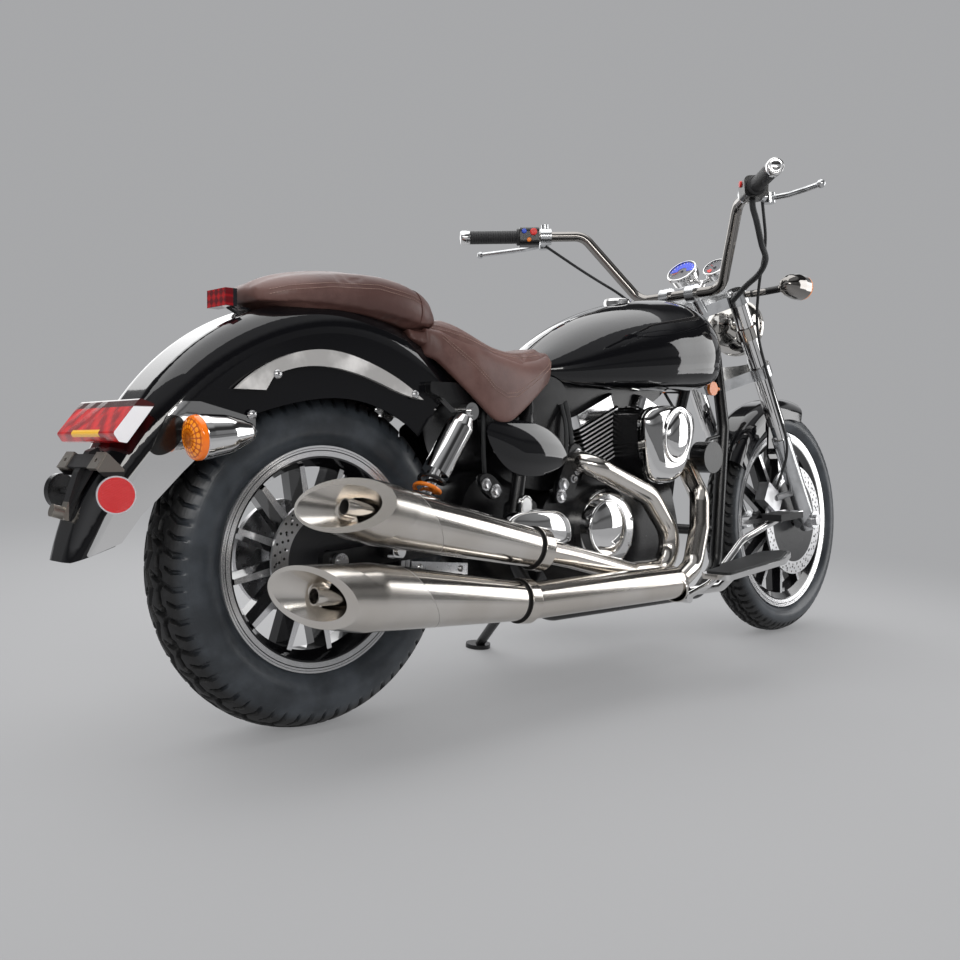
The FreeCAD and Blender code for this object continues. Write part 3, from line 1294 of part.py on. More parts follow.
def build_nodes():
    pillion = make_pillion()
    tank = make_tank()
    cylinders = make_cylinders()
    backbone = make_backbone()
    cradle = make_cradle(backbone)
    mufflers = make_mufflers()
    fender = make_rear_fender()
    chassis = {
        "frame_backbone": backbone.cut(fender),
        "frame_cradle": cradle,
        "crankcase": make_crankcase(cylinders),
        "cylinders": Part.makeCompound(cylinders),
        "rocker_covers": Part.makeCompound(make_rocker_covers()),
        "engine_covers": make_engine_covers(),
        "air_cleaner_body": make_air_cleaner_plate(),
        "air_cleaner_cover": make_air_cleaner_cover(),
        "exhaust_headers": make_headers(mufflers),
        "mufflers": mufflers,
        "fuel_tank": tank,
        "tank_cap": make_tank_cap(),
        "pillion_pad": pillion,
        "rider_seat": make_rider_seat(pillion, tank),
        "rear_fender": fender,
        "fender_trims": make_fender_trims(),
        "fender_stays": make_fender_stays(),
        "tail_light": make_tail_light(),
        "high_lamp": make_high_lamp(pillion),
        "plate_bracket": make_plate_bracket(),
        "reflectors": make_reflectors(cradle),
        "rear_signals": make_rear_signals(),
        "rear_signal_lenses": make_rear_signal_lenses(),
        "side_covers": make_side_covers(),
        "swingarm": make_swingarm(),
        "axles": make_axles(),
        "shock_absorbers": make_shocks(),
        "shock_springs": make_shock_springs(),
        "drive_chain": make_chain(),
        "rear_caliper": make_rear_caliper(),
        "floorboards": make_floorboards(cradle),
        "floorboard_pads": make_floorboard_pads(),
        "foot_controls": make_foot_controls(),
        "passenger_footboards": make_passenger_boards(cradle),
        "horn": make_horn(cradle),
    }
    clamps = make_clamps()
    sliders = make_sliders()
    levers = make_levers()
    rear_wheel = {
        "rear_tyre": make_tyre(REAR_TYRE_R, REAR_TYRE_HALF, REAR_CROWN_R, REAR_RIM_R,
                               REAR_RIM_HALF, REAR_CENTRE),
        "rear_rim": make_cast_wheel(REAR_RIM_R, REAR_RIM_HALF, 44, 58, REAR_CENTRE, 10),
        "rear_disc": make_disc(118, 40, 5, -68, REAR_CENTRE, 24, 58),
        "rear_sprocket": make_sprocket(),
    }
    steering = {
        "fork_clamps": clamps,
        "fork_tubes": make_fork_tubes(),
        "fork_sliders": sliders,
        "handlebar": make_handlebar(),
        "grips": make_grips(),
        "switchgear": make_switchgear(),
        "hand_levers": levers,
        "gauges": make_gauges(clamps),
        "headlight": make_headlight(),
        "headlight_lens": make_headlight_lens(),
        "front_signals": make_front_signals(clamps),
        "front_signal_lenses": make_front_signal_lenses(),
        "front_fender": make_front_fender(sliders),
        "front_caliper": make_front_caliper(),
        "front_axle": make_front_axle(),
        "control_cables": make_cables(levers),
    }
    front_wheel = {
        "front_tyre": make_tyre(FRONT_TYRE_R, FRONT_TYRE_HALF, FRONT_CROWN_R, FRONT_RIM_R,
                                FRONT_RIM_HALF, FRONT_CENTRE),
        "front_rim": make_cast_wheel(FRONT_RIM_R, FRONT_RIM_HALF, 34, 50, FRONT_CENTRE, 0),
        "front_disc": make_disc(150, 33, 5, -62, FRONT_CENTRE, 30, 50),
    }
    return chassis, rear_wheel, steering, front_wheel


def resting_placements():
    """Placements that turn the steering, then lean the machine and set both tyres down."""
    turn = FreeCAD.Placement(ORIGIN, FreeCAD.Rotation(HEAD_DIR, STEER), GROUND_POINT)
    lean = FreeCAD.Placement(ORIGIN, FreeCAD.Rotation(AXIS_X, -LEAN))
    for _ in range(4):
        rear = lean.multVec(REAR_CENTRE)
        rear_axle = lean.Rotation.multVec(AXIS_Y)
        front = lean.multVec(turn.multVec(FRONT_CENTRE))
        front_axle = lean.Rotation.multVec(turn.Rotation.multVec(AXIS_Y))
        low_rear = torus_low(rear, rear_axle, REAR_TYRE_R, REAR_CROWN_R)
        low_front = torus_low(front, front_axle, FRONT_TYRE_R, FRONT_CROWN_R)
        slope = math.degrees(math.atan2(low_front - low_rear, front.x - rear.x))
        lean = FreeCAD.Placement(ORIGIN, FreeCAD.Rotation(AXIS_Y, slope)).multiply(lean)
        lean.Base = lean.Base - V(0, 0, low_rear)
    return turn, lean


def tight_box(shapes):
    box = FreeCAD.BoundBox()
    for shape in shapes:
        box.add(shape.optimalBoundingBox(False, False))
    return box


def main():
    os.makedirs("parts", exist_ok=True)
    chassis, rear_wheel, steering, front_wheel = build_nodes()
    turn, lean = resting_placements()
    final = {}
    for group, steered in ((chassis, False), (rear_wheel, False), (steering, True),
                           (front_wheel, True)):
        for name, shape in group.items():
            placed = shape.copy()
            if steered:
                placed = placed.transformed(turn.toMatrix(), True)
            final[name] = placed.transformed(lean.toMatrix(), True)
    final["side_stand"] = make_side_stand(lean.multVec)
    box = tight_box(final.values())
    shift = V(-box.Center.x, -box.Center.y, -box.ZMin)
    for name, shape in final.items():
        shape.translated(shift).exportStep("parts/" + name + ".step")
    print("box", [round(v, 2) for v in (box.XLength, box.YLength, box.ZLength)],
          "floor", round(box.ZMin, 3))

    def place(point, steered):
        if steered:
            point = turn.multVec(point)
        return lean.multVec(point) + shift

    def aim(direction, steered):
        if steered:
            direction = turn.Rotation.multVec(direction)
        return lean.Rotation.multVec(direction)

    facts = {
        "rear_axle": (place(REAR_CENTRE, False), aim(AXIS_Y, False)),
        "steering": (place(head_point(700), False), aim(HEAD_DIR, False)),
        "front_axle": (place(FRONT_CENTRE, True), aim(AXIS_Y, True)),
        "side_stand": (place(STAND_PIVOT, False), aim(AXIS_Y, False)),
        "mirror_right": (place(mirror_seat(-1), True), aim(AXIS_Z, True)),
        "mirror_left": (place(mirror_seat(1), True), aim(AXIS_Z, True)),
        "plate_right": (place(plate_mount(0, -PLATE_HOLE_Y), False), aim(PLATE_IN, False)),
        "plate_left": (place(plate_mount(0, PLATE_HOLE_Y), False), aim(PLATE_IN, False)),
    }
    for name, (point, direction) in facts.items():
        print(name, [round(v, 4) for v in point], [round(v, 6) for v in direction])


main()
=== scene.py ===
"""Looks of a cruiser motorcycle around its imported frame: finishes, tyres, springs, seats and small parts.
Lengths are metres. Pieces are laid out in the machine's own upright frame (x ahead of the rear axle, y left,
z up from the ground) and carried by row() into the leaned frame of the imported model."""
import json
import math
import bpy
import numpy as np
from mathutils import Matrix, Vector
from mathutils.bvhtree import BVHTree


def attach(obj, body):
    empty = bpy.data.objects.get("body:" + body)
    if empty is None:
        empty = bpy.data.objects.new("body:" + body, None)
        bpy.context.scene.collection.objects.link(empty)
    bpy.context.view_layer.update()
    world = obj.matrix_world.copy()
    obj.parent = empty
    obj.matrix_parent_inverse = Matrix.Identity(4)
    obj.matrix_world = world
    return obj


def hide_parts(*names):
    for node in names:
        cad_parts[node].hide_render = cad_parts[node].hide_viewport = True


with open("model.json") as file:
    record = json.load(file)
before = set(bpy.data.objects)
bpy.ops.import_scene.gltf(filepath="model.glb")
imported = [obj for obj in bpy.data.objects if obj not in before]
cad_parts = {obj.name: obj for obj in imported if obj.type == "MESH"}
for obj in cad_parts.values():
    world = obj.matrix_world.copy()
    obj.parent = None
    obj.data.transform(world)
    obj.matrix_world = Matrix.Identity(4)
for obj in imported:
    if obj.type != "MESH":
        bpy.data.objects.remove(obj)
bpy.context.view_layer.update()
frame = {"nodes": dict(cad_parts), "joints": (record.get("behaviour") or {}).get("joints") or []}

NODES = frame["nodes"]
JOINTS = {j["name"]: j for j in frame["joints"]}

# Measures of the machine: the fork's rake and its turn at rest, the wheels, each silencer's axis from front
# to rear, the crank, the clutch, and the outer end of a grip with the way the bar runs inwards from it
RAKE = math.radians(31.3)
STEER = math.radians(3.7)
WHEELBASE = 1.567
TRAIL = 0.120
REAR_R = 0.3075
FRONT_R = 0.3095
REAR_C = (0.0, 0.0, REAR_R)
FRONT_C = (WHEELBASE, 0.0, FRONT_R)
REAR_RIM_R, REAR_RIM_HALF = 0.204, 0.052
FRONT_RIM_R, FRONT_RIM_HALF = 0.2425, 0.034
CANS = (((0.398, -0.212, 0.311), (-0.008, -0.212, 0.398)),
        ((0.347, -0.226, 0.218), (-0.040, -0.232, 0.261)))
CRANK_X, CRANK_Z = 0.830, 0.335
CYLINDER_LEAN = math.radians(22.5)
CLUTCH = (0.662, -0.133, 0.338)
GRIP_X, GRIP_Y, GRIP_Z = 0.812, 0.429, 1.062
BAR_X, BAR_Y = 0.719, 0.695


# The machine's own frame

def unit(v):
    """v / |v|."""
    v = np.asarray(v, float)
    return v / np.linalg.norm(v)


def machine_frame():
    """Columns x, y, z of the upright frame from the axle and the steering axis, and its ground origin."""
    y = unit(JOINTS["rear_wheel_spin"]["axis"])
    y = y * np.sign(y[1])
    s = unit(JOINTS["steering_turn"]["axis"])
    s = s * np.sign(s[2])
    side = np.cross(y, s)
    x = math.cos(RAKE) * side - math.sin(RAKE) * s
    z = math.cos(RAKE) * s + math.sin(RAKE) * side
    turn = np.stack([x, y, z], axis=1)
    origin = np.array(JOINTS["rear_wheel_spin"]["pos_m"]) - turn @ np.array([0, 0, REAR_R])
    return turn, origin


TURN, ORIGIN = machine_frame()
HEAD_DIR = np.array([-math.sin(RAKE), 0, math.cos(RAKE)])
HEAD_FOOT = np.array([WHEELBASE + TRAIL, 0, 0])


def about(axis, angle):
    """Rotation matrix about a unit axis: I + sin a K + (1 - cos a) K K."""
    x, y, z = axis
    k = np.array([[0, -z, y], [z, 0, -x], [-y, x, 0]])
    return np.eye(3) + math.sin(angle) * k + (1 - math.cos(angle)) * k @ k


STEER_TURN = about(HEAD_DIR, STEER)


def row(points, steered=False):
    """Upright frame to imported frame: p -> TURN (S (p - foot) + foot) + ORIGIN, S only for steered parts."""
    p = np.asarray(points, float)
    if steered:
        p = (p - HEAD_FOOT) @ STEER_TURN.T + HEAD_FOOT
    return p @ TURN.T + ORIGIN


# Meshes

def circle(count):
    """Angles of a full circle, evenly spaced."""
    return np.linspace(0, 2 * math.pi, count, endpoint=False)


def put(name, data):
    """Object of its data, at the origin of the scene."""
    obj = bpy.data.objects.new(name, data)
    bpy.context.scene.collection.objects.link(obj)
    return obj


class Shape:
    """Vertices and faces that add up: grids, revolved profiles and tubes joined into one mesh."""

    def __init__(self):
        self.verts = []
        self.quads = []
        self.tris = []
        self.count = 0

    def grid(self, points, wrap_u=False, wrap_v=True, cap=False):
        """Surface on a (u, v) lattice of points; cap closes both ends of u with a fan."""
        nu, nv = points.shape[:2]
        iu = np.arange(nu if wrap_u else nu - 1)
        iv = np.arange(nv if wrap_v else nv - 1)
        a, b = np.meshgrid(iu, iv, indexing="ij")
        a, b = a.ravel(), b.ravel()
        a2, b2 = (a + 1) % nu, (b + 1) % nv
        quads = np.stack([a * nv + b, a2 * nv + b, a2 * nv + b2, a * nv + b2], axis=1)
        verts = points.reshape(-1, 3)
        tris = np.zeros((0, 3), int)
        if cap:
            ring = np.arange(nv)
            following = (ring + 1) % nv
            verts = np.vstack([verts, points[0].mean(0), points[-1].mean(0)])
            first, last = nu * nv, nu * nv + 1
            base = (nu - 1) * nv
            tris = np.vstack([np.stack([np.full(nv, first), ring, following], axis=1),
                              np.stack([np.full(nv, last), base + following, base + ring], axis=1)])
        if signed_volume(verts, quads, tris) < 0:
            quads, tris = quads[:, ::-1], tris[:, ::-1]
        self.verts.append(verts)
        self.quads.append(quads + self.count)
        self.tris.append(tris + self.count)
        self.count += len(verts)
        return self

    def revolve(self, profile, centre, axis, segments=48):
        """Profile of (distance along the axis, radius) pairs, turned a full circle about the axis."""
        prof = np.asarray(profile, float)[:, :, None, None]
        a = unit(axis)
        u, v = side_axes(a)
        t = circle(segments)[:, None]
        around = np.cos(t) * u + np.sin(t) * v
        return self.grid(np.asarray(centre, float) + prof[:, 0] * a + prof[:, 1] * around[None], cap=True)

    def tube(self, path, radius, sides, up):
        """Round section carried along a path: p(s) + r(s) (cos t n + sin t b), n square to path and up."""
        p = np.asarray(path, float)
        d = tangents(p)
        n = np.cross(d, up)
        n = n / np.linalg.norm(n, axis=1)[:, None]
        b = np.cross(d, n)
        r = np.broadcast_to(np.asarray(radius, float), (len(p),))
        t = circle(sides)[None, :, None]
        ring = np.cos(t) * n[:, None] + np.sin(t) * b[:, None]
        return self.grid(p[:, None] + r[:, None, None] * ring, cap=True)

    def plate(self, outline, thickness, bevel):
        """Closed outline given thickness along y; both faces are drawn in towards its middle by the bevel."""
        o = np.asarray(outline, float)
        half = np.array([0, thickness / 2, 0])
        inner = o.mean(0) + (o - o.mean(0)) * (1 - bevel)
        step = half * (1 - 0.35)
        return self.grid(np.stack([inner - half, o - step, o + step, inner + half]), cap=True)

    def build(self, name, material, body, steered=False, placed=False, sharp=35.0):
        """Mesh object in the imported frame, crisp at edges over a sharp angle, riding its body."""
        verts = np.vstack(self.verts)
        verts = verts if placed else row(verts, steered)
        quads, tris = np.vstack(self.quads), np.vstack(self.tris)
        loops = np.concatenate([quads.ravel(), tris.ravel()])
        sizes = np.repeat([4, 3], [len(quads), len(tris)])
        mesh = bpy.data.meshes.new(name)
        mesh.vertices.add(len(verts))
        mesh.vertices.foreach_set("co", verts.ravel())
        mesh.loops.add(len(loops))
        mesh.loops.foreach_set("vertex_index", loops)
        mesh.polygons.add(len(sizes))
        mesh.polygons.foreach_set("loop_start", np.cumsum(sizes) - sizes)
        mesh.polygons.foreach_set("use_smooth", np.full(len(sizes), True))
        mesh.update(calc_edges=True)
        mesh.validate()
        mesh.set_sharp_from_angle(angle=math.radians(sharp))
        mesh.materials.append(material)
        obj = put(name, mesh)
        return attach(obj, body)


def signed_volume(verts, quads, tris):
    """Sum of a . (b x c) over the triangles of a closed surface: above 0 when its faces look outwards."""
    t = verts[np.vstack([quads[:, [0, 1, 2]], quads[:, [0, 2, 3]], tris])] - verts.mean(0)
    return float(np.einsum("ij,ij->i", t[:, 0], np.cross(t[:, 1], t[:, 2])).sum())


def tangents(p):
    """Unit directions along a row of points, each from the neighbour before to the one after."""
    d = np.roll(p, -1, 0) - np.roll(p, 1, 0)
    d[0], d[-1] = p[1] - p[0], p[-1] - p[-2]
    return d / np.linalg.norm(d, axis=1)[:, None]


def side_axes(a):
    """Two unit axes square to a."""
    u = np.cross(a, [0, 0, 1.0])
    if np.linalg.norm(u) < 0.1:
        u = np.cross(a, [1.0, 0, 0])
    u = unit(u)
    return u, np.cross(a, u)


# Shader values

class Value:
    """A shader socket that adds, subtracts, multiplies and divides with sockets and numbers."""

    def __init__(self, kit, socket):
        self.kit = kit
        self.socket = socket

    def __add__(self, other):
        return self.kit.math("ADD", self, other)

    def __sub__(self, other):
        return self.kit.math("SUBTRACT", self, other)

    def __rsub__(self, other):
        return self.kit.math("SUBTRACT", other, self)

    def __mul__(self, other):
        return self.kit.math("MULTIPLY", self, other)

    def __truediv__(self, other):
        return self.kit.math("DIVIDE", self, other)

    def __abs__(self):
        return self.kit.math("ABSOLUTE", self)

    __radd__ = __add__
    __rmul__ = __mul__

    def above(self, edge, soft=0.001):
        """0 below the edge, 1 above it, smooth over soft."""
        return self.kit.ramp(self, edge - soft / 2, edge + soft / 2)

    def within(self, low, high, soft=0.001):
        return self.above(low, soft) * (1 - self.above(high, soft))


class Kit:
    """The node tree of one finish. make() is the only method that adds a node."""

    def __init__(self, name, tree=None):
        if tree is None:
            self.material = bpy.data.materials.new(name)
            self.material.use_nodes = True
            tree = self.material.node_tree
            self.bsdf = tree.nodes["Principled BSDF"]
        self.tree = tree

    def feed(self, socket, value):
        """A link from a shader value, or else the socket's own number or colour."""
        if isinstance(value, Value):
            self.tree.links.new(value.socket, socket)
        else:
            socket.default_value = (*value, 1.0) if socket.type == "RGBA" else value

    def make(self, kind, inputs=None, out=0, **settings):
        """A node with its settings and inputs, as the value of one output, or of all where out is None."""
        node = self.tree.nodes.new(kind)
        for key, value in settings.items():
            setattr(node, key, value)
        for key, value in (inputs or {}).items():
            self.feed(node.inputs[key], value)
        if out is None:
            return [Value(self, socket) for socket in node.outputs]
        return Value(self, node.outputs[out])

    def math(self, operation, a, b=0.0):
        return self.make("ShaderNodeMath", {0: a, 1: b}, operation=operation)

    def sine(self, a):
        return self.math("SINE", a)

    def fract(self, a):
        return self.math("FRACT", a)

    def ramp(self, value, low, high):
        """0 up to low, 1 from high on, 3 t^2 - 2 t^3 between."""
        return self.make("ShaderNodeMapRange", {0: value, 1: low, 2: high}, interpolation_type="SMOOTHSTEP")

    def mix(self, factor, a, b):
        """Colour a where factor is 0, b where it is 1."""
        return self.make("ShaderNodeMix", {0: factor, 6: a, 7: b}, out=2, data_type="RGBA")

    def place(self):
        return self.make("ShaderNodeTexCoord", out="Object")

    def facing(self, axis):
        """Size of the cosine between the face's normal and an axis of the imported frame, |n . a|."""
        normal = self.make("ShaderNodeTexCoord", out="Normal")
        return abs(self.make("ShaderNodeVectorMath", {0: normal, 1: tuple(axis)}, out="Value",
                             operation="DOT_PRODUCT"))

    def upright(self, steered=False):
        """The shading point in the machine's upright frame, as x, y and z: the inverse of row()."""
        rot, move = TURN, ORIGIN
        if steered:
            rot = TURN @ STEER_TURN
            move = ORIGIN + TURN @ (HEAD_FOOT - STEER_TURN @ HEAD_FOOT)
        euler = Matrix(rot.T.tolist()).to_euler()
        return self.split(self.make("ShaderNodeMapping", {
            "Vector": self.place(), "Rotation": tuple(euler), "Location": tuple(-rot.T @ move)}))

    def split(self, vector):
        return self.make("ShaderNodeSeparateXYZ", {0: vector}, out=None)

    def join(self, x, y, z):
        return self.make("ShaderNodeCombineXYZ", {0: x, 1: y, 2: z})

    def noise(self, scale, detail=3.0, rough=0.5, vector=None):
        return self.make("ShaderNodeTexNoise", {"Vector": vector or self.place(), "Scale": scale,
                                                "Detail": detail, "Roughness": rough})

    def cells(self, scale, vector=None, feature="SMOOTH_F1"):
        return self.make("ShaderNodeTexVoronoi", {"Vector": vector or self.place(), "Scale": scale},
                         out="Distance", feature=feature)

    def length(self, x, y, z=0.0):
        return self.make("ShaderNodeVectorMath", {0: self.join(x, y, z)}, out="Value", operation="LENGTH")

    def bump(self, height, distance, strength=1.0):
        return self.make("ShaderNodeBump", {"Height": height, "Distance": distance, "Strength": strength})

    def set(self, **values):
        """Values for the shader's inputs, named with an underscore for each space."""
        for key, value in values.items():
            self.feed(self.bsdf.inputs[key.replace("_", " ")], value)
        return self.material


def placed_kit(name, steered=False):
    """A new finish, and its shading point's upright x, y and z."""
    kit = Kit(name)
    return kit, *kit.upright(steered)


def shade(colour, factor, lift=0.0):
    """Every channel times a factor, plus a lift, held at 1."""
    return tuple(min(1.0, c * factor + lift) for c in colour)


# Finishes

def paint(name, colour, rough, coat):
    """Gloss paint under clear coat, with a faint orange peel and fine dust in the roughness."""
    k = Kit(name)
    peel = k.noise(160.0, 2.0)
    dust = k.noise(9.0, 4.0)
    return k.set(Base_Color=colour, Roughness=dust * 0.05 + (rough - 0.01), Coat_Weight=coat * 0.7,
                 Coat_Roughness=0.02, Specular_IOR_Level=0.28, Normal=k.bump(peel, 0.00004, 0.5))


def grained(name, colour, second, rough, sway, grain, patch, edges, relief, metallic=0.0):
    """A colour that turns to a second one in soft patches, with its roughness swayed there, and a grain."""
    k = Kit(name)
    spots, cloud = k.noise(*grain), k.noise(*patch)
    return k.set(Base_Color=k.mix(k.ramp(cloud, *edges), colour, second), Metallic=metallic,
                 Roughness=cloud * sway + (rough - sway / 2), Normal=k.bump(spots, *relief))


def satin(name, colour, rough, grain=900.0, depth=0.00004):
    """Powder coat: low sheen, fine pimples, worn a little lighter in patches."""
    return grained(name, colour, shade(colour, 2.0, 0.004), rough, 0.16, (grain, 2.0), (14.0, 4.0),
                   (0.45, 0.75), (depth, 0.6))


def cast_metal(name, colour, rough):
    """Painted or tumbled casting: fine grain, and dull darker clouds in patches."""
    return grained(name, colour, shade(colour, 0.72), rough, 0.16, (700.0, 3.0), (22.0, 4.0), (0.4, 0.7),
                   (0.00008, 0.6), 1.0)


def rubber(name, colour, rough):
    """Matt rubber with a fine grain and a pale bloom in patches."""
    return grained(name, colour, shade(colour, 2.0), rough, 0.2, (1400.0, 2.0), (18.0, 5.0), (0.42, 0.78),
                   (0.00006, 0.5))


def metal(name, colour, rough, vary, scale=7.0, ripple=0.0):
    """Plated or polished metal: clouds of handling in tone and roughness, and a faint ripple where given."""
    k = Kit(name)
    cloud = k.noise(scale, 4.0, 0.55)
    k.set(Base_Color=k.mix(k.ramp(cloud, 0.35, 0.7), colour, shade(colour, 0.93)), Metallic=1.0,
          Roughness=cloud * vary + (rough - vary * 0.4))
    if ripple:
        k.set(Normal=k.bump(k.noise(260.0, 2.0), ripple, 0.5))
    return k.material


def tyre_finish(name, centre, steered, radius):
    """Tyre rubber: dark dusty tread, and a flank painted lighter and bluish as a painted sheen, with fine
    rings and a strip of moulded pips.
    """
    k, x, y, z = placed_kit(name, steered)
    x, z = x - centre[0], z - centre[2]
    r = k.length(x, z)
    wall_from = radius - 0.034
    wall = 1 - k.ramp(r, wall_from, wall_from + 0.02)
    strip = k.ramp(r, radius - 0.098, radius - 0.094) * (1 - k.ramp(r, radius - 0.046, radius - 0.043))
    cloud = k.noise(13.0, 5.0, 0.6)
    scuff = k.noise(60.0, 4.0, 0.7)
    tread = k.mix(k.ramp(scuff, 0.4, 0.75), (0.007, 0.0072, 0.0075), (0.017, 0.017, 0.018))
    # Painted sheen: the flank colours are lighter and bluer than the tread's, standing in for the sheen on
    # the sidewall.
    flank = k.mix(k.ramp(cloud, 0.35, 0.7), (0.024, 0.028, 0.033), (0.052, 0.060, 0.070))
    ring = k.sine(r * 1400.0)
    pip = k.cells(1.0, k.join(k.math("ARCTAN2", x, z) * 6.4, r * 26.0, 0.0), "F1")
    height = ((ring * 0.12) * (1 - strip) + (1 - k.ramp(pip, 0.02, 0.045)) * 0.8 * strip
              + k.noise(900.0, 2.0) * 0.2)
    return k.set(Base_Color=k.mix(wall, tread, flank), Roughness=0.46 - wall * 0.20 + cloud * 0.10,
                 Specular_IOR_Level=0.5, Normal=k.bump(height, 0.0006, 0.5))


def leather(name, colour=(0.080, 0.034, 0.028), worn=(0.150, 0.076, 0.064)):
    """Brown leather: pebbled grain from small cells, fine creases, darker in the low places."""
    k = Kit(name)
    pebble = k.cells(420.0)
    crease = k.noise(70.0, 5.0, 0.65)
    tone = k.mix(k.ramp(k.noise(5.0, 3.0) + crease * 0.3, 0.45, 0.85), colour, worn)
    return k.set(Base_Color=tone, Roughness=0.36 + crease * 0.14, Specular_IOR_Level=0.5,
                 Normal=k.bump(pebble * 0.6 + crease * 0.5, 0.00035, 0.55))


def lens(name, colour, rough, glow, ribs):
    """Moulded lens: coloured plastic, glossy, with light caught in ribs inside it."""
    k = Kit(name)
    cell = k.cells(480.0)
    tone = k.mix(k.ramp(cell, 0.2, 0.6), colour, shade(colour, 0.62))
    return k.set(Base_Color=tone, Roughness=rough, Coat_Weight=0.6, Coat_Roughness=0.03,
                 Normal=k.bump(cell, 0.0008, ribs), Emission_Color=tone, Emission_Strength=glow)


def wheel_finish(name, centre, steered, rim_r, hub_r, half):
    """Black casting with a polished rim lip, and spoke faces that the lathe left bright."""
    k, x, y, z = placed_kit(name, steered)
    r = k.length(x - centre[0], z - centre[2])
    lines = (r.within(rim_r - 0.0098, rim_r - 0.0078, 0.0005)
             + r.within(rim_r - 0.0046, rim_r - 0.0036, 0.0005))
    lip = k.ramp(r, rim_r - 0.0190, rim_r - 0.0182) * abs(y).above(half - 0.012, 0.002) * (1 - lines)
    axle = TURN @ (STEER_TURN if steered else np.eye(3)) @ np.array([0, 1.0, 0])
    spoke = k.facing(axle).above(0.93, 0.03) * k.ramp(r, hub_r + 0.002, hub_r + 0.004) * (
        1 - k.ramp(r, rim_r - 0.036, rim_r - 0.034))
    bright = k.math("MAXIMUM", lip, spoke)
    lathe = k.sine(r * 5200.0) * bright
    return k.set(Base_Color=k.mix(bright, (0.006, 0.006, 0.007), (0.82, 0.82, 0.83)), Metallic=bright * 0.80,
                 Roughness=0.12 + bright * (k.noise(30.0, 3.0) * 0.10 + 0.04), Coat_Weight=1 - bright,
                 Coat_Roughness=0.03, Normal=k.bump(lathe, 0.00002, 0.4))


def disc_finish(name, centre, steered, outer):
    """Brake disc: swept band with staggered rows of drilled holes, and a black carrier inside it."""
    k, x, y, z = placed_kit(name, steered)
    x, z = x - centre[0], z - centre[2]
    r = k.length(x, z)
    turns = k.math("ARCTAN2", x, z) / (2 * math.pi)
    row_gap, holes = 0.0095, 36.0
    row_at = (r - (outer - 0.030)) / row_gap
    slot = k.fract(turns * holes + k.math("FLOOR", row_at) * 0.36 + 10.0) - 0.5
    across = slot * (r * (2 * math.pi / holes))
    down = (k.fract(row_at) - 0.5) * row_gap
    hole = (1 - k.ramp(k.length(across, down), 0.0024, 0.0028)) * r.within(outer - 0.0295, outer - 0.0015)
    band = r.above(outer - 0.034, 0.001)
    swirl = k.noise(1.0, 2.0, 0.5, k.join(r * 2600.0, turns * 6.0, 0.0))
    tone = k.mix(band, (0.02, 0.02, 0.022), k.mix(swirl, (0.62, 0.62, 0.63), (0.78, 0.78, 0.79)))
    return k.set(Base_Color=k.mix(hole, tone, (0.004, 0.004, 0.004)), Metallic=band * (1 - hole),
                 Roughness=0.22 + swirl * 0.16 + hole * 0.4, Normal=k.bump(swirl - hole * 3.0, 0.0002, 0.3))


def exhaust_finish(name):
    """Chrome with a painted warm reflection in its colour: brushed along the cans, a black band at each
    joint, painted shade inside the outlets, and a duller sleeve behind a slanted line."""
    k, x, y, z = placed_kit(name)
    brush = k.noise(1.0, 3.0, 0.5, k.join(x * 14.0, y * 420.0, z * 420.0))
    cloud = k.noise(6.0, 3.0)
    hot = k.ramp(x, 0.86, 0.93) * k.ramp(z, 0.40, 0.46)
    # Painted reflection: the warm tint in both chrome tones stands in for warm reflections of the studio.
    tone = k.mix(k.ramp(cloud, 0.3, 0.7), (0.74, 0.71, 0.67), (0.64, 0.60, 0.55))
    tone = k.mix(hot * 0.5, tone, (0.62, 0.48, 0.30))
    dark = sleeve = 0.0
    for front, rear in CANS:
        reach = np.linalg.norm(np.subtract(rear, front))
        axis = unit(np.subtract(rear, front))
        along = (x - front[0]) * axis[0] + (y - front[1]) * axis[1] + (z - front[2]) * axis[2]
        foot = [along * axis[i] + front[i] for i in range(3)]
        off = k.length(x - foot[0], y - foot[1], z - foot[2])
        inside = 1 - off.above(0.060)
        slant = along - (z - foot[2]) * 0.8
        band = along.within(0.027, 0.036, 0.0006) * inside
        # Painted shade: the inside of each outlet, and the tube end within it, is coloured near black.
        outlet_shade = along.within(reach - 0.20, reach + 0.075, 0.02) * (1 - off.above(0.0128, 0.0008))
        line = slant.within(reach - 0.1085, reach - 0.1068, 0.0004) * inside * off.above(0.030)
        sleeve = slant.above(reach - 0.1075, 0.0005) * (1 - off.above(0.064)) + sleeve
        dark = band + outlet_shade + line * 0.55 + dark
    dark = k.math("MINIMUM", dark, 1.0)
    return k.set(Base_Color=k.mix(dark, tone, (0.012, 0.011, 0.010)), Metallic=1 - dark,
                 Roughness=0.09 + brush * 0.06 + cloud * 0.04 + dark * 0.3 + sleeve * 0.07)


def tail_lamp_finish(name):
    """Red lens with facets, a yellow strip low on its face, clear slanted ends and a dark rim on top."""
    k, x, y, z = placed_kit(name)
    side = abs(y)
    strip = z.within(0.5235, 0.5345, 0.002) * (1 - side.above(0.050, 0.002)) * (1 - x.above(-0.385, 0.002))
    ends = (side + (z - 0.545) * 0.35).above(0.090, 0.0015) * (
        k.facing(TURN @ np.array([0, 1.0, 0])).above(0.30, 0.04))
    facet = abs(k.fract(side * 22.0 + z * 26.0) - 0.5)
    tone = k.mix(k.ramp(facet * 0.6 + k.cells(55.0) * 0.6, 0.15, 0.65), (0.70, 0.010, 0.012),
                 (0.26, 0.003, 0.006))
    tone = k.mix(strip, tone, (0.95, 0.52, 0.03))
    tone = k.mix(ends, tone, (0.80, 0.80, 0.82))
    tone = k.mix(z.above(0.570, 0.002), tone, (0.05, 0.008, 0.008))
    return k.set(Base_Color=tone, Roughness=0.07, Coat_Weight=0.7, Coat_Roughness=0.02,
                 Emission_Color=tone, Emission_Strength=0.18, Normal=k.bump(facet, 0.002, 0.35))


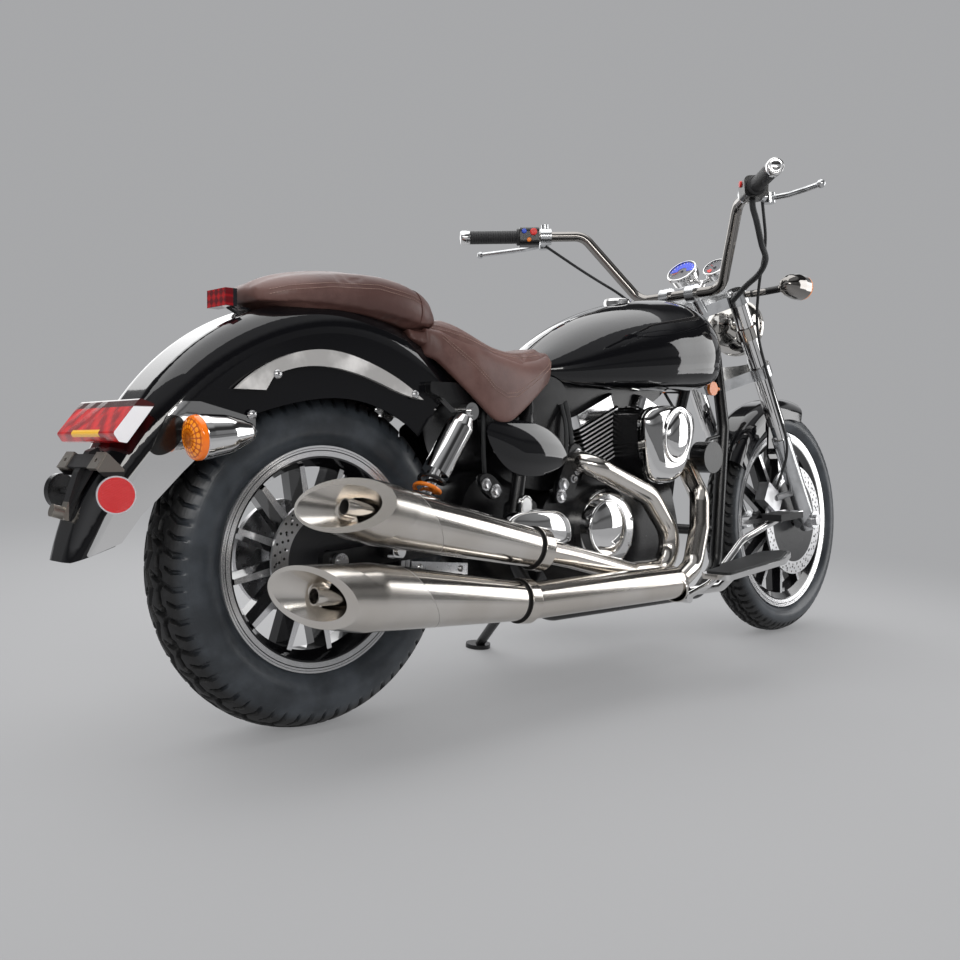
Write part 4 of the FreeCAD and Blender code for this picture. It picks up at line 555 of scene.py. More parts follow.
def reflector_finish(name):
    """Round reflectors: red ones with pale rims at the rear, amber ones at the neck, on black stems."""
    k, x, y, z = placed_kit(name)
    rear, neck = [k.length(x - c[0], abs(y) - c[1], z - c[2])
                  for c in ((-0.408, 0.100, 0.436), (1.140, 0.084, 0.655))]
    ahead = x.above(0.5)
    disc = 1 - k.math("MINIMUM", rear, neck).above(0.0305, 0.0006)
    rim = rear.within(0.0282, 0.0310, 0.0005)
    hidden = (1 - ahead) * y.above(0.0, 0.001)
    prism = k.sine(y * 2600.0) * k.sine(z * 2600.0)
    tone = k.mix(rim, k.mix(ahead, (0.62, 0.006, 0.010), (0.72, 0.17, 0.004)), (0.50, 0.48, 0.50))
    return k.set(Base_Color=k.mix(disc * (1 - hidden), (0.010, 0.010, 0.011), tone), Roughness=0.16,
                 Coat_Weight=0.35, Normal=k.bump(prism, 0.0003, 0.4))


def signal_finish(name):
    """Amber signal lens: spokes and rings round its own axis, darker in the middle, redder at the edge."""
    k, x, y, z = placed_kit(name)
    side = abs(y) - 0.142
    up = z - 0.523 - (x + 0.295) * 0.105
    r = k.length(side, up)
    web = abs(k.sine(k.math("ARCTAN2", up, side) * 9.0)) * abs(k.sine(r * 420.0))
    tone = k.mix(k.ramp(web, 0.10, 0.55), (0.42, 0.070, 0.002), (0.95, 0.30, 0.012))
    tone = k.mix((1 - k.ramp(r, 0.010, 0.017)) * 0.75, tone, (0.26, 0.060, 0.004))
    tone = k.mix(k.ramp(r, 0.029, 0.034), tone, (0.85, 0.17, 0.006))
    return k.set(Base_Color=tone, Roughness=0.07, Coat_Weight=0.6, Coat_Roughness=0.03, Emission_Color=tone,
                 Emission_Strength=0.16, Normal=k.bump(web, 0.0008, 0.4))


def high_lamp_finish(name):
    """Small square lamp: red prisms at the back, a black box behind them, a bright foot."""
    k, x, y, z = placed_kit(name)
    foot = 1 - z.above(0.7465, 0.0005)
    cell = abs(k.fract(y * 62.0) - 0.5) + abs(k.fract(z * 70.0) - 0.5)
    red = k.mix(k.ramp(cell, 0.2, 0.7), (0.50, 0.006, 0.010), (0.14, 0.004, 0.008))
    box = k.mix(x.above(-0.1665, 0.0004), red, (0.014, 0.015, 0.018))
    return k.set(Base_Color=k.mix(foot, box, (0.55, 0.55, 0.56)), Roughness=0.12, Coat_Weight=0.5,
                 Metallic=foot * 0.9, Normal=k.bump(cell, 0.001, 0.3))


def stay_finish(name):
    """Chrome stays with the black oval recess that the signal stands in: (u/a)^2 + (v/b)^2 under 1."""
    k, x, y, z = placed_kit(name)
    dx, dz = x + 0.318, z - 0.527
    u = dx * 0.65 + dz * 0.76
    v = dz * 0.65 - dx * 0.76
    hole = 1 - k.length(u * (1 / 0.036), v * (1 / 0.025)).above(1.0, 0.02)
    return k.set(Base_Color=k.mix(hole, (0.86, 0.855, 0.85), (0.006, 0.006, 0.006)), Metallic=1 - hole,
                 Roughness=0.05 + k.noise(7.0, 3.0) * 0.03 + hole * 0.12)


def foot_finish(name):
    """Chrome levers with a black rubber block on each pedal."""
    k, x, y, z = placed_kit(name)
    pad = x.within(1.1225, 1.2215, 0.0005) * z.within(0.3370, 0.3575, 0.0005) * abs(y).above(0.2415, 0.0005)
    return k.set(Base_Color=k.mix(pad, (0.84, 0.835, 0.83), (0.012, 0.012, 0.013)), Metallic=1 - pad,
                 Roughness=0.06 + k.noise(7.0, 3.0) * 0.04 + pad * 0.45)


def grip_finish(name):
    """Rubber grips with fine rings along the bar."""
    k, x, y, z = placed_kit(name, True)
    along = (x - GRIP_X) * BAR_X + (GRIP_Y - abs(y)) * BAR_Y
    rib = k.sine(along * (2 * math.pi / 0.0062))
    cloud = k.noise(40.0, 3.0)
    return k.set(Base_Color=k.mix(cloud, (0.010, 0.010, 0.011), (0.028, 0.028, 0.030)),
                 Roughness=0.45 + cloud * 0.15, Normal=k.bump(rib, 0.0009, 0.6))


def fin_finish(name):
    """Black engine paint with the edges of the fins machined bright."""
    k, x, y, z = placed_kit(name)
    dx, dz = x - CRANK_X, z - CRANK_Z
    ahead = x.above(CRANK_X, 0.0005)
    edge = 0.0
    for lean, near in ((-CYLINDER_LEAN, 1 - ahead), (CYLINDER_LEAN, ahead)):
        across = abs(dx * math.cos(lean) - dz * math.sin(lean))
        along = dx * math.sin(lean) + dz * math.cos(lean)
        rim = k.math("MAXIMUM", across.above(0.0815, 0.0008), abs(y).above(0.0722, 0.0006))
        edge = rim * near * along.above(0.158, 0.001) + edge
    edge = k.math("MINIMUM", edge, 1.0)
    return k.set(Base_Color=k.mix(edge, (0.010, 0.010, 0.011), (0.86, 0.86, 0.87)), Metallic=edge * 0.35,
                 Roughness=0.34 - edge * 0.16 + k.noise(40.0, 3.0) * 0.08,
                 Normal=k.bump(k.noise(600.0, 2.0), 0.00006, 0.5))


def bracket_finish(name):
    """Black bracket with bare grey tabs at its top and a silver lamp over the plate."""
    k, x, y, z = placed_kit(name)
    side = abs(y)
    tab = side.within(0.041, 0.0735, 0.0005) * z.above(0.470, 0.001)
    lamp = (1 - side.above(0.0105)) * (1 - x.above(-0.4425, 0.001)) * (1 - z.above(0.423, 0.001))
    bare = k.math("MAXIMUM", tab, lamp)
    return k.set(Base_Color=k.mix(bare, (0.014, 0.014, 0.015), (0.42, 0.39, 0.35)), Metallic=bare,
                 Roughness=0.36 + k.noise(60.0, 4.0) * 0.12, Normal=k.bump(k.noise(500.0, 2.0), 0.00005, 0.5))


GLOSS = paint("gloss_black_paint", (0.004, 0.004, 0.005), 0.035, 1.0)
SATIN = satin("satin_black_frame", (0.005, 0.005, 0.0055), 0.26)
ENGINE_BLACK = satin("engine_black", (0.004, 0.004, 0.0045), 0.24, 600.0, 0.00008)
CHROME = metal("chrome", (0.86, 0.855, 0.85), 0.045, 0.03)
WARM_CHROME = exhaust_finish("warm_chrome")
SMOKED_CHROME = metal("smoked_chrome", (0.30, 0.285, 0.27), 0.07, 0.05)
LAMP_SHELL = metal("lamp_shell", (0.58, 0.56, 0.53), 0.05, 0.04)
POLISHED = metal("polished_aluminium", (0.84, 0.84, 0.85), 0.10, 0.08, 16.0, 0.00003)
TRIM = satin("bright_trim", (0.40, 0.39, 0.38), 0.13, 60.0, 0.00002)
STEEL = metal("zinc_steel", (0.60, 0.60, 0.61), 0.26, 0.16, 40.0, 0.00004)
CAST = cast_metal("cast_aluminium", (0.55, 0.55, 0.56), 0.33)
SILVER = cast_metal("silver_casting", (0.70, 0.71, 0.72), 0.22)
RUBBER = rubber("black_rubber", (0.018, 0.019, 0.020), 0.55)
PLASTIC = satin("black_plastic", (0.006, 0.006, 0.0065), 0.30, 1500.0, 0.00003)
AMBER_LENS = lens("amber_lens", (0.95, 0.27, 0.010), 0.07, 0.30, 0.5)
CLEAR_LENS = lens("clear_lens", (0.80, 0.82, 0.84), 0.04, 0.10, 0.4)
ORANGE = paint("orange_coil", (0.75, 0.19, 0.015), 0.25, 0.4)
LEATHER = leather("brown_leather")
THREAD = rubber("pale_thread", (0.26, 0.17, 0.14), 0.7)
BLUE_FACE = satin("blue_dial", (0.010, 0.045, 0.60), 0.35)
GREY_FACE = satin("grey_dial", (0.10, 0.10, 0.11), 0.35)
WHITE_MARK = satin("white_mark", (0.75, 0.75, 0.75), 0.4)
RED_MARK = satin("red_mark", (0.65, 0.02, 0.015), 0.35)
BLUE_MARK = satin("blue_mark", (0.02, 0.07, 0.50), 0.35)

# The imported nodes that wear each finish
WORN_BY = (
    (GLOSS, "fuel_tank rear_fender side_covers front_fender"),
    (SATIN, "frame_backbone frame_cradle swingarm side_stand shock_springs horn"),
    (ENGINE_BLACK, "crankcase air_cleaner_body"),
    (CHROME, "engine_covers air_cleaner_cover tank_cap rear_signals shock_absorbers floorboards "
             "passenger_footboards fork_tubes gauges"),
    (WARM_CHROME, "exhaust_headers mufflers"),
    (SMOKED_CHROME, "handlebar front_signals"),
    (LAMP_SHELL, "headlight"),
    (POLISHED, "rocker_covers"),
    (TRIM, "fender_trims"),
    (STEEL, "axles drive_chain rear_sprocket front_axle"),
    (CAST, "rear_caliper front_caliper"),
    (SILVER, "fork_clamps fork_sliders hand_levers"),
    (RUBBER, "floorboard_pads rear_tyre front_tyre control_cables"),
    (PLASTIC, "switchgear"),
    (LEATHER, "pillion_pad rider_seat"),
    (AMBER_LENS, "front_signal_lenses"),
    (CLEAR_LENS, "headlight_lens"),
    (fin_finish("fin_edges"), "cylinders"),
    (stay_finish("stay_chrome"), "fender_stays"),
    (tail_lamp_finish("tail_lamp"), "tail_light"),
    (high_lamp_finish("high_lamp_prisms"), "high_lamp"),
    (bracket_finish("bracket_paint"), "plate_bracket"),
    (reflector_finish("reflector_discs"), "reflectors"),
    (signal_finish("signal_lens"), "rear_signal_lenses"),
    (foot_finish("pedal_chrome"), "foot_controls"),
    (grip_finish("ribbed_grips"), "grips"),
    (wheel_finish("rear_wheel_casting", REAR_C, False, REAR_RIM_R, 0.045, REAR_RIM_HALF), "rear_rim"),
    (wheel_finish("front_wheel_casting", FRONT_C, True, FRONT_RIM_R, 0.040, FRONT_RIM_HALF), "front_rim"),
    (disc_finish("rear_disc_steel", REAR_C, False, 0.118), "rear_disc"),
    (disc_finish("front_disc_steel", FRONT_C, True, 0.150), "front_disc"),
)

for look, names in WORN_BY:
    for node_name in names.split():
        slots = NODES[node_name].data.materials
        slots.clear()
        slots.append(look)


# Floor, light and camera

BACKDROP = 0.385
FLOOR_DROP = 0.0004
FLOOR_SIDES = 96
FLOOR_OWN_LIGHT = 0.36
FADE_FROM, FADE_TO = 0.7, 2.8


def grey(level):
    """The backdrop's slightly cool grey at a level."""
    return level, level * 1.008, level * 1.03


def make_stage():
    """Flat disc, rings of (r cos t, r sin t), that fades with distance into the backdrop's own grey."""
    t = circle(FLOOR_SIDES)
    r = np.array([0.0005, 1.0, 2.5, 6.0, 14.0, 60.0])[:, None]
    pts = np.stack([r * np.cos(t), r * np.sin(t), np.full((len(r), len(t)), -FLOOR_DROP)], axis=2)
    k = Kit("floor_grey")
    x, y, z = k.split(k.place())
    k.set(Base_Color=k.mix(k.noise(1.2, 2.0), (0.370, 0.370, 0.375), (0.386, 0.386, 0.391)), Roughness=0.75,
          Specular_IOR_Level=0.15)
    glow = k.make("ShaderNodeEmission", {"Color": grey(BACKDROP), "Strength": 1.0})
    lift = k.make("ShaderNodeEmission", {"Color": (0.49, 0.492, 0.500), "Strength": 1.0})
    surface = k.make("ShaderNodeMixShader", {0: FLOOR_OWN_LIGHT, 1: Value(k, k.bsdf.outputs[0]), 2: lift})
    far = k.ramp(k.length(x, y), FADE_FROM, FADE_TO)
    both = k.make("ShaderNodeMixShader", {0: far, 1: surface, 2: glow})
    k.feed(k.tree.nodes["Material Output"].inputs["Surface"], both)
    base = np.arange(len(r) - 1)[:, None] * FLOOR_SIDES
    here = base + np.arange(FLOOR_SIDES)
    following = base + (np.arange(FLOOR_SIDES) + 1) % FLOOR_SIDES
    quads = np.stack([following, following + FLOOR_SIDES, here + FLOOR_SIDES, here], axis=2).reshape(-1, 4)
    mesh = bpy.data.meshes.new("studio_floor")
    mesh.from_pydata(pts.reshape(-1, 3).tolist(), [], quads.tolist())
    mesh.materials.append(k.material)
    obj = put("studio_floor", mesh)


def make_world():
    """Even grey to the camera, white fill to diffuse rays, and a banded studio to mirrors."""
    world = bpy.data.worlds.new("studio")
    bpy.context.scene.world = world
    world.use_nodes = True
    tree = world.node_tree
    k = Kit("studio", tree)
    x, y, z = k.split(k.make("ShaderNodeTexCoord", out="Generated"))
    camera = k.make("ShaderNodeLightPath", out="Is Camera Ray")
    glossy = k.make("ShaderNodeLightPath", out="Is Glossy Ray")
    sides = k.sine(k.math("ARCTAN2", y, x) * 2.0 + 0.6) * 0.5 + 0.5
    low = z.within(-0.02, 0.16, 0.10)
    mid = z.within(0.20, 0.46, 0.08)
    top = k.ramp(z, 0.62, 0.80)
    mirror = 0.030 + mid * (0.10 + sides * 0.62) + top * 0.30 + low * 0.12
    light = mirror * glossy + (1 - glossy) * 0.72
    shade_seen = light * (1 - camera) + camera * BACKDROP
    k.feed(tree.nodes["Background"].inputs["Color"], k.join(*grey(shade_seen)))


def make_lamp(name, place, aim, size, power, tone=(1, 1, 1)):
    """Rectangular soft light at a place in the upright frame, facing a point."""
    data = bpy.data.lights.new(name, "AREA")
    data.shape = "RECTANGLE"
    data.size, data.size_y = size
    data.energy = power
    data.color = tone
    obj = put(name, data)
    start, end = Vector(row(place)), Vector(row(aim))
    obj.location = start
    obj.rotation_euler = (end - start).to_track_quat("-Z", "Y").to_euler()


SENSOR = 36.0
FOCAL_PIXELS = 1095.1
IMAGE_PIXELS = 960.0


def make_camera():
    """Rear right view, level to two degrees, 41 mm on a 36 mm frame; d looks ahead, r right and u up."""
    place = np.array([-1.13363, -1.67335, 0.50966])
    yaw, pitch, roll = 0.81745, -0.030221, 0.002736
    d = np.array([math.cos(yaw) * math.cos(pitch), math.sin(yaw) * math.cos(pitch), math.sin(pitch)])
    r = unit(np.cross(d, [0, 0, 1.0]))
    u = np.cross(r, d)
    right = math.cos(roll) * r + math.sin(roll) * u
    up = -math.sin(roll) * r + math.cos(roll) * u
    data = bpy.data.cameras.new("camera")
    data.sensor_width = SENSOR
    data.sensor_fit = "HORIZONTAL"
    data.lens = SENSOR * FOCAL_PIXELS / IMAGE_PIXELS
    world = np.eye(4)
    world[:3, :3] = TURN @ np.stack([right, up, -d], axis=1)
    world[:3, 3] = row(place)
    obj = put("camera", data)
    obj.matrix_world = Matrix(world.tolist())
    bpy.context.scene.camera = obj


make_camera()
make_world()
make_stage()
make_lamp("overhead", (0.5, 0.5, 3.0), (0.6, 0.0, 0.4), (4.4, 3.0), 66.0)
make_lamp("camera_side", (-1.6, -3.0, 1.7), (0.3, 0.0, 0.5), (2.8, 0.42), 30.0, (1.0, 0.98, 0.95))
make_lamp("far_side", (1.2, 3.0, 1.9), (0.6, 0.0, 0.6), (3.4, 2.2), 38.0)
make_lamp("front_strip", (3.4, -1.6, 1.2), (1.2, 0.0, 0.5), (1.4, 2.2), 28.0)
bpy.context.scene.view_settings.view_transform = "Standard"


# Tyres

SHOULDER = 0.72
WALL_ROWS = 22
CROWN_ROWS = 63
TREAD_DEPTH = 0.0080


def tyre_profile(radius, half, crown, rim_r, rim_half):
    """Section from the right bead over the crown to the left bead: (radius, side), tread share -1 to 1."""
    flat = half * SHOULDER
    drop = crown - math.sqrt(crown ** 2 - flat ** 2)
    shoulder = (radius - drop, flat)
    middle = ((shoulder[0] + rim_r) / 2 + 0.004, half)
    bead = (rim_r + 0.001, rim_half - 0.0053)
    side = arc_through(bead, middle, shoulder, WALL_ROWS)
    a = math.asin(flat / crown)
    t = np.linspace(-a, a, CROWN_ROWS)[1:-1]
    top = np.stack([radius - crown + crown * np.cos(t), crown * np.sin(t)], axis=1)
    prof = np.vstack([side * np.array([1, -1]), top, side[::-1]])
    share = np.concatenate([np.full(len(side), -1.0), t / a, np.full(len(side), 1.0)])
    return prof, share


def arc_through(p, q, r, count):
    """Points on the circle through three points, evenly spaced from p to r."""
    ax, ay, bx, by, cx, cy = *p, *q, *r
    d = 2 * (ax * (by - cy) + bx * (cy - ay) + cx * (ay - by))
    ux = ((ax ** 2 + ay ** 2) * (by - cy) + (bx ** 2 + by ** 2) * (cy - ay)
          + (cx ** 2 + cy ** 2) * (ay - by)) / d
    uy = ((ax ** 2 + ay ** 2) * (cx - bx) + (bx ** 2 + by ** 2) * (ax - cx)
          + (cx ** 2 + cy ** 2) * (bx - ax)) / d
    start = math.atan2(ay - uy, ax - ux)
    end = math.atan2(cy - uy, cx - ux)
    mid = math.atan2(by - uy, bx - ux)
    while mid < start:
        mid += 2 * math.pi
    while end < start:
        end += 2 * math.pi
    if mid > end:
        end -= 2 * math.pi
    t = np.linspace(start, end, count)
    rr = math.hypot(ax - ux, ay - uy)
    return np.stack([ux + rr * np.cos(t), uy + rr * np.sin(t)], axis=1)


def smooth_step(x, low, high):
    """3 t^2 - 2 t^3 with t = (x - low) / (high - low) kept in 0..1."""
    t = np.clip((x - low) / (high - low), 0, 1)
    return t * t * (3 - 2 * t)


def groove(distance, width, edge=0.0016):
    """1 in a groove whose middle line is at distance 0, 0 beyond its width, in metres."""
    return 1 - smooth_step(np.abs(distance), width / 2 - edge / 2, width / 2 + edge)


def tread_depth(turn, share, arc, pitches, girth):
    """Depth of the pattern 0 to 1: a zigzag middle groove, two stepped grooves and slanted cross grooves."""
    u = turn * pitches
    saw = np.abs((u % 1.0) * 2 - 1) * 2 - 1
    step = np.tanh(np.sin(2 * math.pi * u) * 3.0)
    metres = share * arc
    pitch = girth / pitches
    middle = groove(metres - saw * arc * 0.13, 0.0085)
    rows = np.maximum(groove(metres - arc * (0.50 + 0.06 * step), 0.0070),
                      groove(metres + arc * (0.50 - 0.06 * step), 0.0070))
    side = np.where(share > 0, 0.0, 0.5)
    away = np.abs(share)
    lean = u + side + 0.55 * away
    cross = groove(((lean % 1.0) - 0.5) * pitch, 0.0085) * smooth_step(away, 0.10, 0.16)
    half = groove((((lean + 0.5) % 1.0) - 0.5) * pitch, 0.0050) * smooth_step(away, 0.70, 0.76)
    return np.maximum(np.maximum(middle, rows), np.maximum(cross, half))


def make_tyre(name, node, centre, radius, half, crown, rim_r, rim_half, steered, body, pitches, count):
    """Casing grid: p = centre + r(s, t) (sin t, 0, cos t) + side(s) y, with the tread sunk by its depth
    along the section's own normal, the grooves run out on the flanks, and the bead closed inside the rim."""
    prof, share = tyre_profile(radius, half, crown, rim_r, rim_half)
    tt, ss = np.meshgrid(np.linspace(0, 1, count, endpoint=False), share, indexing="ij")
    arc = crown * math.asin(half * SHOULDER / crown)
    deep = tread_depth(tt, ss, arc, pitches, 2 * math.pi * radius) * TREAD_DEPTH
    edge = tangents(prof)
    out = np.stack([edge[:, 1], -edge[:, 0]], axis=1)
    rib = np.arange(len(prof))
    near = np.minimum(rib, len(prof) - 1 - rib)
    fade = np.where(near < WALL_ROWS, smooth_step(near, 15, 21), 1.0)
    deep = deep * np.where(np.abs(ss) >= 1.0, fade[None], 1.0)
    back = [(rim_r - 0.012, rim_half - 0.0071), (rim_r - 0.012, rim_half - 0.019),
            (rim_r + 0.02, rim_half - 0.012)]
    inner = np.array(back + [(p, -q) for p, q in back[::-1]])
    r = np.hstack([prof[:, 0] - deep * out[:, 0], np.broadcast_to(inner[:, 0], (count, len(inner)))])
    s = np.hstack([prof[:, 1] - deep * out[:, 1], np.broadcast_to(inner[:, 1], (count, len(inner)))])
    a = 2 * math.pi * tt[:, :1]
    pts = np.stack([centre[0] + r * np.sin(a), centre[1] + s, centre[2] + r * np.cos(a)], axis=2)
    shape = Shape().grid(pts, wrap_u=True)
    finish = tyre_finish(name + "_rubber", centre, steered, radius)
    piece = shape.build(name, finish, body, steered)
    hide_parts(node)


make_tyre("rear_tyre_tread", "rear_tyre", REAR_C, REAR_R, 0.065, 0.072, REAR_RIM_R, REAR_RIM_HALF, False,
          "rear_wheel", 32, 840)
make_tyre("front_tyre_tread", "front_tyre", FRONT_C, FRONT_R, 0.046, 0.050, FRONT_RIM_R, FRONT_RIM_HALF, True,
          "front_wheel", 36, 800)


# Springs

def make_springs():
    """Coil over each damper: p = top + a k + R (cos w n + sin w b), with w through 6.5 turns."""
    coils, bright = Shape(), Shape()
    coil_r, wire_r, last = 0.0238, 0.0037, 2 * math.pi * 6.5
    orange_from, orange_to = 44, 92
    w = np.linspace(0, last, 300)
    flat = smooth_step(w, 0, 3.0) * smooth_step(last - w, 0, 3.0)
    for side in (-1, 1):
        top = np.array([0.282, side * 0.129, 0.577])
        foot = np.array([0.105, side * 0.129, 0.322])
        axis = unit(foot - top)
        u, v = side_axes(axis)
        start, end = 0.146, np.linalg.norm(foot - top) - 0.0385
        along = start + (end - start) * (w / w[-1])
        line = top + along[:, None] * axis + coil_r * (np.cos(w)[:, None] * u + np.sin(w)[:, None] * v)
        coils.tube(line, wire_r * (0.86 + 0.14 * flat), 8, up=axis)
        bright.tube(line[orange_from:orange_to], 0.00395, 8, up=axis)
    piece = coils.build("shock_coils", SATIN, "chassis")
    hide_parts("shock_springs")
    bright.build("shock_orange_coils", ORANGE, "chassis")


make_springs()


# Seats

def padded_copy(name, node, cap):
    """Cushion from the node's solid: remeshed at 5 mm, swollen by cloth pressure, moves capped."""
    obj = put(name, NODES[node].data.copy())
    bpy.context.view_layer.objects.active = obj
    remesh = obj.modifiers.new("even", "REMESH")
    remesh.mode = "VOXEL"
    remesh.voxel_size = 0.005
    bake(obj)
    smooth = obj.modifiers.new("ease", "SMOOTH")
    smooth.factor, smooth.iterations = 0.5, 3
    bake(obj)
    swell(obj, cap)
    sub = obj.modifiers.new("fine", "SUBSURF")
    sub.levels = sub.render_levels = 1
    bake(obj)
    obj.data.polygons.foreach_set("use_smooth", np.full(len(obj.data.polygons), True))
    obj.data.materials.clear()
    obj.data.materials.append(LEATHER)
    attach(obj, "chassis")
    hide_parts(node)
    return obj


def bake(obj):
    """The evaluated mesh takes the place of the object's own, and its modifiers go."""
    graph = bpy.context.evaluated_depsgraph_get()
    mesh = bpy.data.meshes.new_from_object(obj.evaluated_get(graph))
    obj.modifiers.clear()
    obj.data = mesh


def swell(obj, cap):
    """Twenty frames of cloth under pressure with gravity off; no point moves further than the cap."""
    before, after = np.zeros((2, len(obj.data.vertices) * 3))
    obj.data.vertices.foreach_get("co", before)
    cloth = obj.modifiers.new("swell", "CLOTH")
    cloth.settings.use_pressure = True
    cloth.settings.uniform_pressure_force = 4.0
    cloth.settings.effector_weights.gravity = 0.0
    cloth.settings.quality = 6
    scene = bpy.context.scene
    for step in range(1, 21):
        scene.frame_set(step)
    bake(obj)
    obj.data.vertices.foreach_get("co", after)
    scene.frame_set(1)
    move = (after - before).reshape(-1, 3)
    size = np.linalg.norm(move, axis=1)[:, None]
    move = move * np.minimum(1.0, cap / np.maximum(size, 1e-9))
    obj.data.vertices.foreach_set("co", (before.reshape(-1, 3) + move).ravel())
    obj.data.update()


def seat_surface(obj):
    """Ray caster on a finished cushion."""
    return BVHTree.FromObject(obj, bpy.context.evaluated_depsgraph_get())


STITCH_GAP = 0.0055
STITCH_LENGTH = 0.0036
THREAD_R = 0.00055
STITCH_ARCH = np.array([-0.2, 0.7, 1.0, 0.7, -0.2])[:, None]


def stitch_line(shape, tree, points, inward):
    """Short threads laid end to end where rays from the points meet the leather, each a low arch."""
    hits = []
    for p, d in zip(row(points), inward @ TURN.T):
        hit, normal, _, _ = tree.ray_cast(Vector(p), Vector(d))
        if hit is not None:
            hits.append((np.array(hit), np.array(normal)))
    if len(hits) < 3:
        return
    place, face = np.array(hits).transpose(1, 0, 2)
    run = np.concatenate([[0], np.cumsum(np.linalg.norm(np.diff(place, axis=0), axis=1))])
    for start in np.arange(0.0, run[-1] - STITCH_LENGTH, STITCH_GAP):
        s = np.linspace(start, start + STITCH_LENGTH, len(STITCH_ARCH))
        line, up = [np.stack([np.interp(s, run, v[:, i]) for i in range(3)], axis=1) for v in (place, face)]
        shape.tube(line + up * (0.0002 + 0.00045 * STITCH_ARCH), THREAD_R, 5, up=up.mean(0))


rider = padded_copy("rider_seat_cushion", "rider_seat", 0.006)
pillion = padded_copy("pillion_cushion", "pillion_pad", 0.006)


# Covers and small parts

def smooth_outline(points, rounds=3):
    """Corner cutting: every edge keeps its two quarter points, a few times over."""
    p = np.asarray(points, float)
    for _ in range(rounds):
        q = np.roll(p, -1, 0)
        p = np.stack([0.75 * p + 0.25 * q, 0.25 * p + 0.75 * q], axis=1).reshape(-1, p.shape[1])
    return p


def at_side(outline, y):
    """Side-view outline of (x, z) points as points at one y."""
    o = np.asarray(outline, float)
    return np.stack([o[:, 0], np.full(len(o), y), o[:, 1]], axis=1)


def rings(shape, outline, middle, steps):
    """Stacked outlines in planes square to y: for each (f, y) the points c + f (p - c) at that y."""
    c = np.asarray(middle, float)
    return shape.grid(np.stack([at_side(c + f * (outline - c), y) for f, y in steps]), cap=True)


def oval(x, z, long, short, lean, count=64):
    """Ellipse points in the side plane: c + a cos t e1 + b sin t e2."""
    t = circle(count)[:, None]
    e1 = np.array([math.sin(lean), math.cos(lean)])
    e2 = np.array([math.cos(lean), -math.sin(lean)])
    return np.array([x, z]) + long * np.cos(t) * e1 + short * np.sin(t) * e2


def curve(points, count=48):
    """Catmull-Rom line through the points: each span is a cubic with the slopes of its neighbours."""
    p = np.asarray(points, float)
    q = np.vstack([2 * p[0] - p[1], p, 2 * p[-1] - p[-2]])
    u = np.linspace(0, len(p) - 1 - 1e-9, count)
    i = u.astype(int)
    t = (u - i)[:, None]
    a, b, c, d = q[i], q[i + 1], q[i + 2], q[i + 3]
    return 0.5 * (2 * b + (c - a) * t + (2 * a - 5 * b + 4 * c - d) * t ** 2
                  + (3 * b - a - 3 * c + d) * t ** 3)


def bolt(shape, place, axis, radius, height):
    """Washer, hexagon with a chamfered top, and a shallow dish in the head."""
    shape.revolve([(0, radius * 1.35), (height * 0.2, radius * 1.35), (height * 0.22, radius * 1.25)],
                  place, axis, 24)
    shape.revolve([(height * 0.2, radius), (height * 0.85, radius), (height, radius * 0.84),
                   (height * 0.9, radius * 0.35)], place, axis, 6)


def dome_bolt(shape, place, axis, radius, height):
    """Round head: h cos over its radius, with a socket."""
    t = np.linspace(0, 1.25, 7)
    profile = [(0, radius)] + [(height * math.sin(v), radius * math.cos(v)) for v in t]
    shape.revolve(profile + [(height * 0.55, radius * 0.28)], place, axis, 24)


def make_side_covers():
    """Crowned panels: the outline shrinks to its middle while y rises by h (1 - f^2.4)."""
    outline = smooth_outline([(0.306, 0.560), (0.372, 0.462), (0.470, 0.446), (0.548, 0.470),
                              (0.560, 0.498), (0.520, 0.540), (0.430, 0.566)], 4)
    shape = Shape()
    for side in (-1, 1):
        steps = [(1.0, side * 0.1333)] + [(f, side * (0.1358 + 0.0112 * (1 - f ** 2.4))) for f in (
            1.0, 0.99, 0.97, 0.93, 0.86, 0.76, 0.62, 0.45, 0.25, 0.05)]
        rings(shape, outline, (0.44, 0.505), steps)
    piece = shape.build("side_cover_panels", GLOSS, "chassis", sharp=60)
    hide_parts("side_covers")


def make_air_cover():
    """Bright shell in the cover's outline with rolled shoulders, and an oval boss with a groove round it."""
    corners = [(767, 602), (926, 604), (952, 562), (908, 455), (866, 429), (806, 431), (783, 452), (767, 520)]
    outline = smooth_outline(np.array(corners) / 1000.0, 3)
    shape = Shape()
    rings(shape, outline, (0.855, 0.518), [
        (1.0, -0.1522), (1.0, -0.1600), (0.985, -0.1606), (0.985, -0.1630), (1.0, -0.1636), (1.0, -0.1690),
        (0.992, -0.1730), (0.972, -0.1765), (0.94, -0.1795), (0.89, -0.1828), (0.82, -0.1855),
        (0.72, -0.1875), (0.5, -0.1885), (0.05, -0.1890)])
    rings(shape, oval(0.862, 0.538, 0.058, 0.043, 0.25), (0.862, 0.538), [
        (1.10, -0.180), (1.10, -0.1905), (1.08, -0.1925), (1.03, -0.1932), (0.99, -0.1925), (0.97, -0.1900),
        (0.93, -0.1900), (0.91, -0.1930), (0.80, -0.1972), (0.62, -0.2000), (0.40, -0.2013), (0.05, -0.2019)])
    piece = shape.build("air_cleaner_shell", CHROME, "chassis", sharp=45)
    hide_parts("air_cleaner_cover")


